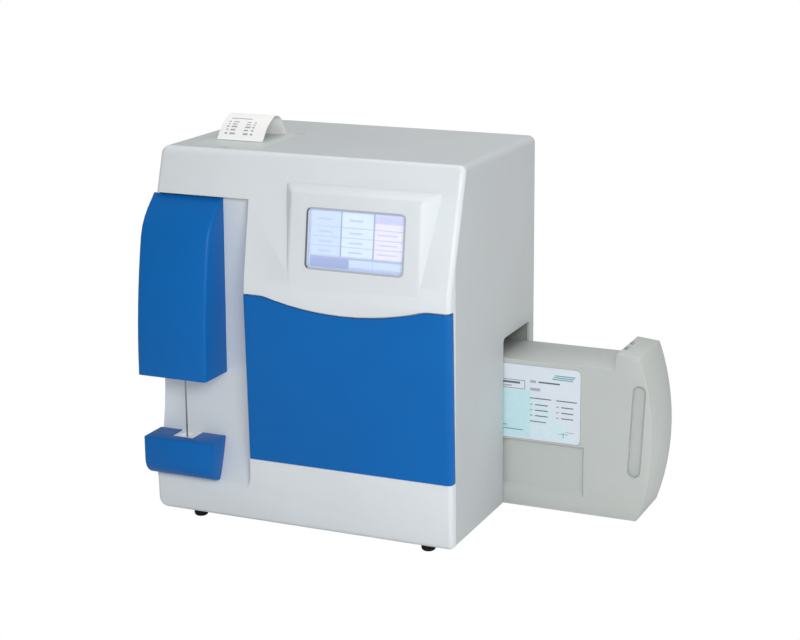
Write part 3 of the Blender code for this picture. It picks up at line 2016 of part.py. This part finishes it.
# Reagent pack
pack_middle = (pack_low + 190 * mm) / 2
pack_half = (190 * mm - pack_low) / 2
pack_radius = (pack_half**2 + pack_bulge**2) / (2 * pack_bulge)
pack_sweep = math.asin(pack_half / pack_radius)
pack_arc = [
    (
        pack_corner + pack_bulge - pack_radius + pack_radius * math.cos(pack_sweep * k / 6),
        pack_middle + pack_radius * math.sin(pack_sweep * k / 6),
        0,
    )
    for k in range(-6, 7)
]
reagent_pack = prism(
    "reagent_pack",
    "XZ",
    rounded(
        [
            (pack_left, pack_low, 4 * mm),
            *pack_arc,
            (pack_step + 2.3 * mm, pack_block_top, 1.5 * mm),
            (pack_step, pack_top, 0),
            (pack_left, pack_top, 4 * mm),
        ]
    ),
    pack_front,
    pack_rear,
    pack_grey,
    root,
)
bevel(reagent_pack, pack_round)
label_left = label_right - label_length
label_recess = prism(
    "label_recess",
    "XZ",
    rectangle(
        label_left - fit_gap, label_right + fit_gap, label_low - fit_gap, label_high + fit_gap, label_corner
    ),
    pack_front - 5 * mm,
    pack_front + label_thickness + 2 * fit_gap,
    None,
    root,
)
panel_recess = prism(
    "panel_recess",
    "YZ",
    [
        (pack_front - 1 * mm, panel_high),
        (pack_front + panel_depth, panel_high),
        (pack_front + panel_depth, panel_low + panel_slope),
        (pack_front - 1 * mm, panel_low - panel_slope / 4),
    ],
    label_left,
    panel_right,
    None,
    root,
)
grip_recess = prism(
    "grip_recess",
    "XZ",
    rectangle(-grip_width / 2, grip_width / 2, -grip_length / 2, grip_length / 2, grip_width / 2 - 0.1 * mm),
    -5 * mm,
    grip_depth,
    None,
    root,
)
grip_recess.location += Vector((grip_x, pack_front, grip_z))
grip_recess.rotation_euler.y = grip_lean
block_slots = blocks(
    "block_slots",
    [
        (
            (pack_step + 4 * mm, y * mm, pack_block_top - 4 * mm),
            (pack_step + 8 * mm, (y + 13) * mm, pack_block_top + 5 * mm),
        )
        for y in (174, 196)
    ],
    None,
    root,
)
cut(reagent_pack, label_recess, panel_recess, grip_recess, block_slots)
pack_label = prism(
    "pack_label",
    "XZ",
    rectangle(label_left, label_right, label_low, label_high, label_corner),
    pack_front + fit_gap,
    pack_front + fit_gap + label_thickness - 0.1 * mm,
    white,
    root,
)
port_rows = [pack_front + pack_thickness / 2 + k * 12 * mm for k in (-2, -1, 0, 1, 2)]
port_z = 60 * mm
pack_ports = block(
    "pack_ports",
    (pack_left - 3 * mm, port_rows[0] - 6 * mm, port_z - 6 * mm),
    (pack_left - fit_gap, port_rows[-1] + 6 * mm, port_z + 6 * mm),
    white,
    root,
)
dock_left = half_width - case_wall - fit_gap - bay_length + bay_wall + fit_gap
dock_right = pack_left - pack_travel_in - 4 * mm
docking_block = block(
    "docking_block",
    (dock_left, port_rows[0] - 10 * mm, port_z - 14 * mm),
    (dock_right, port_rows[-1] + 10 * mm, port_z + 14 * mm),
    black,
    root,
)
for k, y in enumerate(port_rows):
    spout = rod(
        "spout_" + str(k + 1),
        "X",
        port_radius,
        (pack_left - port_length, y, port_z),
        (pack_left - 1 * mm, y, port_z),
        None,
        root,
        16,
    )
    join(pack_ports, spout)
    socket = rod(
        "socket_" + str(k + 1),
        "X",
        port_radius + 0.5 * mm,
        (dock_right - 5 * mm, y, port_z),
        (dock_right + 5 * mm, y, port_z),
        None,
        root,
        16,
    )
    cut(docking_block, socket)

# Pack bay
bay_right = half_width - case_wall - fit_gap
bay_left = bay_right - bay_length
pack_bay = block(
    "pack_bay",
    (bay_left, pack_front - bay_gap - bay_wall, right_bottom_corner + fit_gap),
    (bay_right, pack_rear + bay_gap + bay_wall, bay_top + bay_wall),
    white,
    root,
)
bay_space = block(
    "bay_space",
    (bay_left + bay_wall, pack_front - bay_gap, below),
    (bay_right + 10 * mm, pack_rear + bay_gap, bay_top),
    None,
    root,
)
cut(pack_bay, bay_space)

# Bulkhead, board and power supply
bulkhead = block(
    "bulkhead",
    (-half_width + lip + 1 * mm, bulkhead_place, sheet + fit_gap),
    (half_width - right_lip - 1 * mm, bulkhead_place + sheet, case_height - bulkhead_drop),
    zinc,
    root,
)
board_rear = bulkhead_place - fit_gap
board_front = board_rear - board_thickness
board_high = case_height - bulkhead_drop - board_drop
board_low = board_high - board_height
main_board = block(
    "main_board",
    (board_left, board_front, board_low),
    (board_left + board_width, board_rear, board_high),
    board_green,
    root,
)
chips = blocks(
    "chips",
    [
        (
            (board_left + start, board_front - height, board_low + low),
            (board_left + start + width, board_rear - board_thickness / 2, board_low + low + length),
        )
        for start, low, width, length, height in (
            (15 * mm, 85 * mm, 30 * mm, 25 * mm, 10.4 * mm),
            (70 * mm, 40 * mm, 28 * mm, 28 * mm, 2.4 * mm),
            (120 * mm, 15 * mm, 14 * mm, 32 * mm, 4.4 * mm),
            (155 * mm, 81 * mm, 43 * mm, 26 * mm, 12.4 * mm),
        )
    ],
    None,
    root,
)
join(main_board, chips)
power_supply = block(
    "power_supply",
    (-half_width + lip + 2 * mm, supply_front, sheet + fit_gap),
    (supply_right, supply_rear, sheet + fit_gap + supply_height),
    zinc,
    root,
    2 * mm,
    1,
)

for obj in list(parts.objects):
    if obj.type == "MESH":
        settle(obj)
        shade(obj)
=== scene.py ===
"""Looks of a bench-top electrolyte analyzer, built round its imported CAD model."""

import math

import bmesh
import bpy
from mathutils import Matrix, Vector


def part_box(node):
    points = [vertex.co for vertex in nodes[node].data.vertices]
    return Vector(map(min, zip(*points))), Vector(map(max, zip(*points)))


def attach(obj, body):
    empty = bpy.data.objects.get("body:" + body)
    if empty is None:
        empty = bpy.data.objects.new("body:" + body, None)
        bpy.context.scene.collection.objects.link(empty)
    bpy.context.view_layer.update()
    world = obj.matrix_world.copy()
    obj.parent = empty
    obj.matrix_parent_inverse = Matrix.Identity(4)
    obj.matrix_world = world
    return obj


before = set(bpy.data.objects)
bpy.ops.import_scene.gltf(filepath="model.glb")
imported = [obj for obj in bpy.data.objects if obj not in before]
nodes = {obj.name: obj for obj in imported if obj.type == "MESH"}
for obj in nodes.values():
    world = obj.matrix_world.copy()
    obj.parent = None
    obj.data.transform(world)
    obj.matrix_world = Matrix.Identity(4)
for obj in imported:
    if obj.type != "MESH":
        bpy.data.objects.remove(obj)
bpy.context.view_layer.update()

mm = 0.001
deg = math.pi / 180

# Places repeated from the part: the case's own frame and the screen's face
case_place = Matrix.Translation(Vector((-83.85, -112.4, 14)) * mm)
screen_foot = Matrix.Translation(Vector((0, -5.5, 275)) * mm)
screen_lean = Matrix.Rotation(-8 * deg, 4, "X")
screen_place = case_place @ screen_foot @ screen_lean
smooth_below = 32 * deg
weld_distance = 0.005 * mm


def linear(code):
    """The linear colour of a six-digit code."""
    values = [int(code[k : k + 2], 16) / 255 for k in (0, 2, 4)]
    return tuple(v / 12.92 if v <= 0.04045 else ((v + 0.055) / 1.055) ** 2.4 for v in values)


class Look:
    """A material made of nodes, with short ways to add them."""

    def __init__(self, name, colour, roughness=0.5, metallic=0.0):
        self.material = bpy.data.materials.new(name)
        self.material.use_nodes = True
        self.tree = self.material.node_tree
        self.shader = self.tree.nodes["Principled BSDF"]
        self.colour = linear(colour)
        self.shader.inputs["Base Color"].default_value = (*self.colour, 1)
        self.shader.inputs["Roughness"].default_value = roughness
        self.shader.inputs["Metallic"].default_value = metallic
        self.material.diffuse_color = (*self.colour, 1)
        self.place = None

    def add(self, kind, **values):
        node = self.tree.nodes.new(kind)
        for key, value in values.items():
            if key in node.inputs:
                node.inputs[key].default_value = value
            else:
                setattr(node, key, value)
        return node

    def join(self, output, socket):
        self.tree.links.new(output, socket)

    def coordinates(self):
        if self.place is None:
            self.place = self.add("ShaderNodeTexCoord").outputs["Object"]
        return self.place

    def noise(self, scale, detail=3.0, stretch=None):
        node = self.add("ShaderNodeTexNoise")
        node.inputs["Scale"].default_value = scale
        node.inputs["Detail"].default_value = detail
        source = self.coordinates()
        if stretch:
            mapping = self.add("ShaderNodeMapping")
            mapping.inputs["Scale"].default_value = stretch
            self.join(source, mapping.inputs["Vector"])
            source = mapping.outputs["Vector"]
        self.join(source, node.inputs["Vector"])
        return node.outputs["Fac"]

    def between(self, factor, low, high):
        """The factor spread over a range of values."""
        node = self.add("ShaderNodeMapRange")
        node.inputs["From Min"].default_value = 0.3
        node.inputs["From Max"].default_value = 0.7
        node.inputs["To Min"].default_value = low
        node.inputs["To Max"].default_value = high
        self.join(factor, node.inputs["Value"])
        return node.outputs["Result"]

    def uneven(self, scale, amount):
        """Slow changes of brightness over the surface."""
        mix = self.add("ShaderNodeMix", data_type="RGBA")
        dark = tuple(c * (1 - amount) for c in self.colour)
        bright = tuple(min(1, c * (1 + amount)) for c in self.colour)
        mix.inputs["A"].default_value = (*dark, 1)
        mix.inputs["B"].default_value = (*bright, 1)
        self.join(self.between(self.noise(scale), 0, 1), mix.inputs["Factor"])
        self.join(mix.outputs["Result"], self.shader.inputs["Base Color"])
        return mix.outputs["Result"]

    def rough(self, scale, low, high):
        self.join(self.between(self.noise(scale, 2), low, high), self.shader.inputs["Roughness"])

    def relief(self, height, depth, rounding=0.0):
        """Bump from a height, on normals that are rounded over sharp edges."""
        bump = self.add("ShaderNodeBump")
        bump.inputs["Strength"].default_value = 1.0
        bump.inputs["Distance"].default_value = depth
        self.join(height, bump.inputs["Height"])
        if rounding:
            soft = self.add("ShaderNodeBevel", samples=6)
            soft.inputs["Radius"].default_value = rounding
            self.join(soft.outputs["Normal"], bump.inputs["Normal"])
        self.join(bump.outputs["Normal"], self.shader.inputs["Normal"])


def moulded(
    name, colour, rounding=0.6 * mm, roughness=0.42, grain=1500, depth=0.02 * mm, shade=0.02, gloss=0.5
):
    """Injection-moulded plastic with a fine eroded texture."""
    look = Look(name, colour, roughness)
    look.shader.inputs["Specular IOR Level"].default_value = gloss
    look.uneven(9, shade)
    look.rough(60, roughness - 0.04, roughness + 0.05)
    look.relief(look.noise(grain, 2), depth, rounding)
    return look.material


def metal(name, colour, roughness=0.3, stretch=(1, 1, 1), grain=300, rounding=0.3 * mm):
    look = Look(name, colour, roughness, 1.0)
    look.uneven(25, 0.025)
    look.join(
        look.between(look.noise(grain, 3, stretch), roughness - 0.08, roughness + 0.1),
        look.shader.inputs["Roughness"],
    )
    look.relief(look.noise(grain * 2, 2, stretch), 0.01 * mm, rounding)
    return look.material


fascia_white = moulded("fascia_white", "DFE5E8", 1.0 * mm, 0.4)
cover_plastic = moulded("cover_plastic", "C3C8CA", 0.8 * mm, 0.5, 1300, 0.03 * mm)
lid_plastic = moulded("lid_plastic", "C6CDCB", 0.5 * mm, 0.5, 1300, 0.03 * mm)
blue_plastic = moulded("blue_plastic", "0066B4", 0.8 * mm, 0.36, 1700, 0.015 * mm, 0.03, 0.2)
pack_plastic = moulded("pack_plastic", "C0C5C2", 1.0 * mm, 0.42, 1500, 0.02 * mm)
bay_plastic = moulded("bay_plastic", "8E9490", 1.0 * mm, 0.5)
cup_plastic = moulded("cup_plastic", "FFFFFF", 0.5 * mm, 0.3)
tray_plastic = moulded("tray_plastic", "E4E6E4", 0.6 * mm, 0.45)
black_plastic = moulded("black_plastic", "1B1C1E", 0.4 * mm, 0.5)
port_plastic = moulded("port_plastic", "E8E8E4", 0.4 * mm, 0.35)
rubber = moulded("rubber", "0E0E0F", 0.4 * mm, 0.75, 900, 0.05 * mm)
sheet_zinc = metal("sheet_zinc", "B4B8B8", 0.38, (1, 1, 6), 120)
steel_polished = metal("steel_polished", "C4C6C8", 0.2, (1, 1, 0.1), 900, 0.1 * mm)
needle_steel = metal("needle_steel", "8C8E90", 0.3, (1, 1, 0.1), 900, 0.1 * mm)
steel_ground = metal("steel_ground", "B8BABC", 0.28, (1, 1, 8), 600, 0.2 * mm)

paper_look = Look("thermal_paper", "FBFBFA", 0.6)
paper_look.uneven(40, 0.01)
paper_look.relief(paper_look.noise(2500, 4), 0.01 * mm)
paper_white = paper_look.material

board_look = Look("circuit_board", "0F5B36", 0.35)
board_look.uneven(200, 0.25)
board_look.relief(board_look.noise(400, 1, (1, 1, 0.2)), 0.03 * mm, 0.3 * mm)
board_green = board_look.material

clear_look = Look("clear_plastic", "DCE8EC", 0.12)
clear_look.shader.inputs["Transmission Weight"].default_value = 0.6
clear_look.shader.inputs["IOR"].default_value = 1.46
clear_look.rough(80, 0.08, 0.18)
clear_look.relief(clear_look.noise(700, 2), 0.01 * mm, 0.4 * mm)
clear_plastic = clear_look.material

glass_look = Look("touch_glass", "F4F8FF", 0.08)
glass_look.shader.inputs["Alpha"].default_value = 0.12
glass_look.rough(50, 0.05, 0.12)
touch_glass = glass_look.material

pack_card = Look("label_card", "DEE6EF", 0.38)
pack_card.uneven(60, 0.01)
label_card = pack_card.material

finishes = {
    "front_fascia": fascia_white,
    "main_cover": cover_plastic,
    "printer_lid": lid_plastic,
    "front_door": blue_plastic,
    "sampler_cover": blue_plastic,
    "sampler_base": blue_plastic,
    "electrode_latch": blue_plastic,
    "wash_cup": cup_plastic,
    "reagent_pack": pack_plastic,
    "pump_head": pack_plastic,
    "pack_label": label_card,
    "pack_ports": port_plastic,
    "pump_roller_1": port_plastic,
    "pump_roller_2": port_plastic,
    "pump_roller_3": port_plastic,
    "electrode_reference": port_plastic,
    "paper_strip": paper_white,
    "paper_roll": paper_white,
    "fluidics_tray": tray_plastic,
    "pack_bay": bay_plastic,
    "touch_panel": touch_glass,
    "main_board": board_green,
    "electrode_chloride": clear_plastic,
    "electrode_sodium": clear_plastic,
    "electrode_potassium": clear_plastic,
    "fluid_manifold": clear_plastic,
    "pump_tube": clear_plastic,
    "sample_tube": clear_plastic,
    "probe_needle": needle_steel,
    "door_pin_lower": steel_polished,
    "door_pin_upper": steel_polished,
    "guide_rod_left": steel_polished,
    "guide_rod_right": steel_polished,
    "lead_screw": steel_ground,
    "serial_port": steel_ground,
    "pump_rotor": steel_ground,
    "platen_roller": rubber,
    "foot_front_left": rubber,
    "foot_front_right": rubber,
    "foot_rear_left": rubber,
    "foot_rear_right": rubber,
    "base_plate": sheet_zinc,
    "rear_panel": sheet_zinc,
    "bulkhead": sheet_zinc,
    "power_supply": sheet_zinc,
    "drive_frame": sheet_zinc,
    "print_mechanism": sheet_zinc,
    "electrode_rail": sheet_zinc,
}


def smoothing():
    """A modifier's node group that shades smoothly except over edges sharper than its angle."""
    group = bpy.data.node_groups.new("smooth_by_angle", "GeometryNodeTree")
    group.interface.new_socket("Geometry", in_out="INPUT", socket_type="NodeSocketGeometry")
    group.interface.new_socket("Geometry", in_out="OUTPUT", socket_type="NodeSocketGeometry")
    start = group.nodes.new("NodeGroupInput")
    end = group.nodes.new("NodeGroupOutput")
    faces = group.nodes.new("GeometryNodeSetShadeSmooth")
    edges = group.nodes.new("GeometryNodeSetShadeSmooth")
    edges.domain = "EDGE"
    angle = group.nodes.new("GeometryNodeInputMeshEdgeAngle")
    below = group.nodes.new("FunctionNodeCompare")
    below.operation = "LESS_THAN"
    below.inputs["B"].default_value = smooth_below
    group.links.new(start.outputs[0], faces.inputs["Geometry"])
    group.links.new(faces.outputs["Geometry"], edges.inputs["Geometry"])
    group.links.new(angle.outputs["Unsigned Angle"], below.inputs["A"])
    group.links.new(below.outputs["Result"], edges.inputs["Shade Smooth"])
    group.links.new(edges.outputs["Geometry"], end.inputs[0])
    return group


smooth_group = smoothing()


def clean_smooth(obj):
    """Weld what the file format split, then shade by angle."""
    weld = obj.modifiers.new("weld", "WELD")
    weld.merge_threshold = weld_distance
    modifier = obj.modifiers.new("smooth_by_angle", "NODES")
    modifier.node_group = smooth_group


for name, node in nodes.items():
    node.data.materials.clear()
    node.data.materials.append(finishes.get(name, black_plastic))
    clean_smooth(node)


def piece(name, bm, material, body, place=None):
    mesh = bpy.data.meshes.new(name)
    if place is not None:
        bmesh.ops.transform(bm, matrix=place, verts=bm.verts)
    bmesh.ops.recalc_face_normals(bm, faces=bm.faces)
    bm.to_mesh(mesh)
    bm.free()
    obj = bpy.data.objects.new(name, mesh)
    bpy.context.scene.collection.objects.link(obj)
    for entry in material if isinstance(material, list) else [material]:
        mesh.materials.append(entry)
    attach(obj, body)
    return obj


def print_ink(name, colour, roughness=0.45, glow=0.0):
    """Ink or screen colour with the slight unevenness of a print."""
    look = Look(name, colour, roughness)
    result = look.uneven(300, 0.03)
    if glow:
        look.join(result, look.shader.inputs["Emission Color"])
        look.shader.inputs["Emission Strength"].default_value = glow
    return look.material


def fields(name, rows, depth, thickness, material_names, body, place):
    """Thin plates on a flat face, one for each row of (left, right, low, high, ink index) in mm."""
    bm = bmesh.new()
    for left, right, low, high, ink in rows:
        made = bmesh.ops.create_cube(bm, size=1)
        size = Vector(((right - left) * mm, thickness, (high - low) * mm))
        bmesh.ops.scale(bm, vec=size, verts=made["verts"])
        middle = Vector(((left + right) / 2 * mm, depth, (low + high) / 2 * mm))
        bmesh.ops.translate(bm, vec=middle, verts=made["verts"])
        for face in {face for vertex in made["verts"] for face in vertex.link_faces}:
            face.material_index = ink
    return piece(name, bm, material_names, body, place)


# Picture on the screen: a result table in three columns over a row of keys
window_left = 15.0
window_right = 127.2
window_low = 22.5
window_high = 85.7
picture_overlap = 1.5
screen_left = window_left - picture_overlap
screen_right = window_right + picture_overlap
screen_low = window_low - picture_overlap
screen_high = window_high + picture_overlap
screen_inks = [
    print_ink("screen_ground", "B9CAEA", 0.4, 0.27),
    print_ink("screen_line", "8E9FBC", 0.4, 0.2),
    print_ink("screen_cell", "C6D8F0", 0.4, 0.31),
    print_ink("screen_pale", "D2E1EF", 0.4, 0.33),
    print_ink("screen_head", "B9C3EA", 0.4, 0.3),
    print_ink("screen_key", "98A9D8", 0.4, 0.25),
    print_ink("screen_pink", "E2DFF2", 0.4, 0.33),
]


def across(share):
    return screen_left + (screen_right - screen_left) * share


def down(share):
    return screen_high - (screen_high - screen_low) * share


table_rows = [(screen_left, screen_right, screen_low, screen_high, 0)]
columns = [(0.03, 0.325, 2), (0.345, 0.655, 3), (0.675, 0.975, 6)]
row_edges = [0.05, 0.30, 0.46, 0.61, 0.765]
cells = []
for left, right, ink in columns:
    for top, bottom in zip(row_edges, row_edges[1:]):
        cells.append((across(left), across(right), down(bottom - 0.012), down(top + 0.004), ink))
cells.append((across(0.675), across(0.975), down(0.19), down(0.06), 4))
for x in (0.33, 0.66):
    cells.append((across(x), across(x + 0.008), down(0.775), down(0.04), 1))
cells.append((across(0.03), across(0.975), down(0.792), down(0.782), 1))
keys = [
    (across(0.03), across(0.42), down(0.955), down(0.80), 5),
    (across(0.43), across(0.66), down(0.92), down(0.81), 2),
    (across(0.67), across(0.97), down(0.92), down(0.81), 2),
    (across(0.43), across(0.97), down(0.955), down(0.93), 4),
]
marks = []
for left, right, _ in columns[:2]:
    for top, bottom in zip(row_edges, row_edges[1:]):
        middle = (top + bottom) / 2
        start = across(left + 0.07)
        end = across(left + 0.21)
        marks.append((start, end, down(middle + 0.015), down(middle - 0.015), 0))
for top in (0.36, 0.52, 0.67):
    marks.append((across(0.70), across(0.90), down(top + 0.02), down(top), 0))
fields("screen_picture", table_rows, 4.62 * mm, 0.06 * mm, screen_inks, "case", screen_place)
fields("screen_cells", cells + keys, 4.56 * mm, 0.04 * mm, screen_inks, "case", screen_place)
fields("screen_marks", marks, 4.52 * mm, 0.03 * mm, screen_inks, "case", screen_place)


def rounded_corners(left, right, low, high, radius, steps=6):
    """Corner points of a rounded rectangle, from the upper right one on, anticlockwise."""
    centres = [
        (right - radius, high - radius),
        (left + radius, high - radius),
        (left + radius, low + radius),
        (right - radius, low + radius),
    ]
    points = []
    for quarter, (x, z) in enumerate(centres):
        for k in range(steps + 1):
            angle = (quarter + k / steps) * 90 * deg
            points.append((x + radius * math.cos(angle), z + radius * math.sin(angle)))
    return points


# Gasket round the screen's window: its left side gets a darker colour as painted shade
outer = rounded_corners(12.7, 127.7, 20.7, 87.1, 6)
inner = rounded_corners(15.0, 125.7, 22.7, 85.5, 4)
gasket_back = 0.02
gasket_front = -0.13
painted_shade_end = 16.5 * mm
gasket = bmesh.new()
rings = []
for outline, depth in (
    (outer, gasket_back),
    (outer, gasket_front),
    (inner, gasket_front),
    (inner, gasket_back),
):
    rings.append([gasket.verts.new((x * mm, depth * mm, z * mm)) for x, z in outline])
for ring, following in zip(rings, rings[1:] + rings[:1]):
    for k in range(len(ring)):
        after = (k + 1) % len(ring)
        face = gasket.faces.new((ring[k], ring[after], following[after], following[k]))
        # Faces on the left side take the darker colour, a painted shade
        face.material_index = 0 if face.calc_center_median().x < painted_shade_end else 1
gasket_inks = [
    print_ink("gasket_painted_shade", "66707C", 0.5),
    print_ink("gasket_grey", "B2B8C2", 0.5),
]
piece("screen_gasket", gasket, gasket_inks, "case", screen_place)

# Printing on the pack's label: colour fields and plain bars
label_inks = [
    print_ink("label_cyan", "C6E7EE", 0.4),
    print_ink("label_ink", "606A76", 0.45),
    print_ink("label_grey", "A7AFB8", 0.45),
    print_ink("label_teal", "5FA3AE", 0.45),
]
label_pale = print_ink("label_pale", "D6E9F0", 0.4)
label_front = 153.3
label_face = (label_front - 0.05) * mm
ink_thickness = 0.04 * mm
label_rows = [
    (140, 206, 149.5, 150.1, 1),
    (140, 206, 139.8, 140.4, 1),
    (205.4, 206, 139.8, 150.1, 1),
    (146, 175, 145.6, 148.0, 1),
    (179, 200, 145.6, 148.0, 1),
    (150, 190, 141.8, 143.6, 2),
    (212, 219, 148.4, 151.4, 2),
    (222, 247, 149.0, 150.8, 1),
    (212, 224, 139.4, 142.6, 2),
    (212, 237, 130.2, 131.4, 1),
    (243, 267, 130.2, 131.4, 1),
    (212, 231, 103.2, 104.3, 1),
    (150, 204, 91.5, 92.6, 3),
    (150, 185, 96.0, 97.0, 3),
    (251, 252, 88.0, 94.0, 3),
    (246, 257, 92.0, 92.8, 2),
    (254, 264, 94.6, 95.4, 2),
]
for k in range(3):
    z = 122.6 - 6.4 * k
    label_rows += [
        (212, 215, z, z + 1.6, 2),
        (218, 233, z + 0.2, z + 1.4, 1),
        (243, 246, z, z + 1.6, 2),
        (249, 263, z + 0.2, z + 1.4, 1),
    ]

# Tint under the print: a full field and a paler corner that runs out along a slant
tint_near = (label_front - 0.03) * mm
tint_far = (label_front - 0.01) * mm
tint = bmesh.new()
for ink, outline in (
    (0, ((122.5, 84), (213, 84), (213, 139.5), (122.5, 139.5))),
    (1, ((213, 84), (268, 84), (213, 139.5))),
):
    near = [tint.verts.new((x * mm, tint_near, z * mm)) for x, z in outline]
    far = [tint.verts.new((x * mm, tint_far, z * mm)) for x, z in outline]
    sides = [near, far[::-1]]
    for k in range(len(outline)):
        after = (k + 1) % len(outline)
        sides.append((near[k], far[k], far[after], near[after]))
    for side in sides:
        tint.faces.new(side).material_index = ink
piece("label_tint", tint, [label_inks[0], label_pale], "pack", case_place)
fields("label_print", label_rows, label_face, ink_thickness, label_inks, "pack", case_place)
mark_rows = []
for k in range(3):
    shift = 1.5 * k
    low = 154.5 + 2.2 * k
    mark_rows.append((238 + shift, 262 + shift, low, 155.7 + 2.2 * k, 3))
fields("label_bars", mark_rows, label_face, ink_thickness, label_inks, "pack", case_place)

# Printed result on the paper's front end: short bars that follow the strip's curve
paper_ink = print_ink("paper_ink", "A9ABB0", 0.6)
strip = nodes["paper_strip"].data
strip_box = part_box("paper_strip")
strip_faces = [
    (polygon.center.copy(), polygon.normal.copy())
    for polygon in strip.polygons
    if polygon.normal.z > 0.05 and polygon.center.z > strip_box[0].z + 3 * mm
]


def on_paper(y):
    """Height and normal of the strip's top at a depth."""
    centre, normal = min(strip_faces, key=lambda item: abs(item[0].y - y))
    rise = -(y - centre.y) * normal.y / normal.z
    return centre.z + rise, normal


def paper_bars(rows):
    bm = bmesh.new()
    for left, right, start, end in rows:
        middle_y = (start + end) / 2
        height, normal = on_paper(middle_y)
        half = (end - start) / 2
        slope = -normal.y / normal.z
        lift = 0.03 * mm
        corners = []
        for y in (middle_y - half, middle_y + half):
            for x in (left, right):
                base = Vector((x, y, height + slope * (y - middle_y)))
                corners.append(base + normal * lift)
                corners.append(base + normal * lift * 2)
        made = [bm.verts.new(c) for c in corners]
        for face in ((0, 2, 6, 4), (1, 5, 7, 3), (0, 1, 3, 2), (4, 6, 7, 5), (0, 4, 5, 1), (2, 3, 7, 6)):
            bm.faces.new([made[k] for k in face])
    return piece("paper_print", bm, paper_ink, "lid", None)


left = strip_box[0].x
front = strip_box[0].y
bars = [(left + 8 * mm, left + 34 * mm, front + 22 * mm, front + 23.2 * mm)]
for k in range(5):
    y = front + (17 - 3 * k) * mm
    bars.append((left + (7 + k % 2) * mm, left + 10 * mm, y, y + 1.3 * mm))
    bars.append((left + 13 * mm, left + (20 - k % 2) * mm, y, y + 1.3 * mm))
    bars.append((left + 30 * mm, left + (35 + k % 3) * mm, y, y + 1.3 * mm))
    bars.append((left + 39 * mm, left + 42 * mm, y, y + 1.3 * mm))
paper_bars(bars)

# Lights, floor and camera
scene = bpy.context.scene
scene.view_settings.view_transform = "Standard"
scene.view_settings.look = "None"

world = bpy.data.worlds.new("studio")
scene.world = world
world.use_nodes = True
background = world.node_tree.nodes["Background"]
background.inputs["Color"].default_value = (1, 1, 1, 1)
background.inputs["Strength"].default_value = 0.37
paths = world.node_tree.nodes.new("ShaderNodeLightPath")
white_ground = world.node_tree.nodes.new("ShaderNodeBackground")
white_ground.inputs["Color"].default_value = (1, 1, 1, 1)
white_ground.inputs["Strength"].default_value = 1.0
chosen = world.node_tree.nodes.new("ShaderNodeMixShader")
world.node_tree.links.new(paths.outputs["Is Camera Ray"], chosen.inputs[0])
world.node_tree.links.new(background.outputs["Background"], chosen.inputs[1])
world.node_tree.links.new(white_ground.outputs["Background"], chosen.inputs[2])
world.node_tree.links.new(chosen.outputs["Shader"], world.node_tree.nodes["World Output"].inputs["Surface"])

floor_mesh = bpy.data.meshes.new("floor")
reach = 6.0
floor_height = -0.2 * mm
floor_corners = [(-reach, -reach), (reach, -reach), (reach, reach), (-reach, reach)]
floor_mesh.from_pydata([(x, y, floor_height) for x, y in floor_corners], [], [(0, 1, 2, 3)])
floor = bpy.data.objects.new("floor", floor_mesh)
scene.collection.objects.link(floor)
floor_look = Look("floor_white", "FFFFFF", 0.9)
floor_paths = floor_look.add("ShaderNodeLightPath")
floor_mix = floor_look.add("ShaderNodeMixShader")
glow = floor_look.add("ShaderNodeEmission")
glow.inputs["Color"].default_value = (1, 1, 1, 1)
glow.inputs["Strength"].default_value = 1.0
floor_look.shader.inputs["Base Color"].default_value = (0.8, 0.8, 0.8, 1)
floor_look.join(floor_paths.outputs["Is Camera Ray"], floor_mix.inputs[0])
floor_look.join(floor_look.shader.outputs["BSDF"], floor_mix.inputs[1])
floor_look.join(glow.outputs["Emission"], floor_mix.inputs[2])
floor_look.join(floor_mix.outputs["Shader"], floor_look.tree.nodes["Material Output"].inputs["Surface"])
floor_mesh.materials.append(floor_look.material)


def area_light(name, place, aim, size, power):
    light = bpy.data.lights.new(name, "AREA")
    light.shape = "RECTANGLE"
    light.size = size[0]
    light.size_y = size[1]
    light.energy = power
    obj = bpy.data.objects.new(name, light)
    obj.location = place
    obj.rotation_euler = (Vector(aim) - Vector(place)).to_track_quat("-Z", "Y").to_euler()
    scene.collection.objects.link(obj)


area_light("key", (0.85, -1.4, 0.95), (0, 0, 0.35), (0.8, 0.5), 13.5)
area_light("front_fill", (0.3, -2.4, 1.0), (0, 0, 0.35), (1.6, 1.2), 4)
area_light("side_fill", (1.6, -0.1, 0.1), (0.1, -0.1, 0.05), (0.9, 0.15), 3)
area_light("top_soft", (0.1, 0.6, 2.0), (0, 0.1, 0.3), (1.6, 1.4), 16)

# Camera fitted to the photograph
camera_spot = Vector((897.21, -1731.98, 755.80)) * mm
yaw = 0.4030
pitch = 0.2393
roll = -0.0051
camera_data = bpy.data.cameras.new("camera")
camera_data.sensor_width = 36
camera_data.lens = 84.40
camera_data.shift_x = -0.0397
camera_data.shift_y = -0.0506
camera_data.clip_end = 50
camera = bpy.data.objects.new("camera", camera_data)
turn = Matrix.Rotation(yaw, 4, "Z")
turn = turn @ Matrix.Rotation(90 * deg - pitch, 4, "X")
turn = turn @ Matrix.Rotation(roll, 4, "Z")
camera.matrix_world = Matrix.Translation(case_place @ camera_spot) @ turn
scene.collection.objects.link(camera)
scene.camera = camera
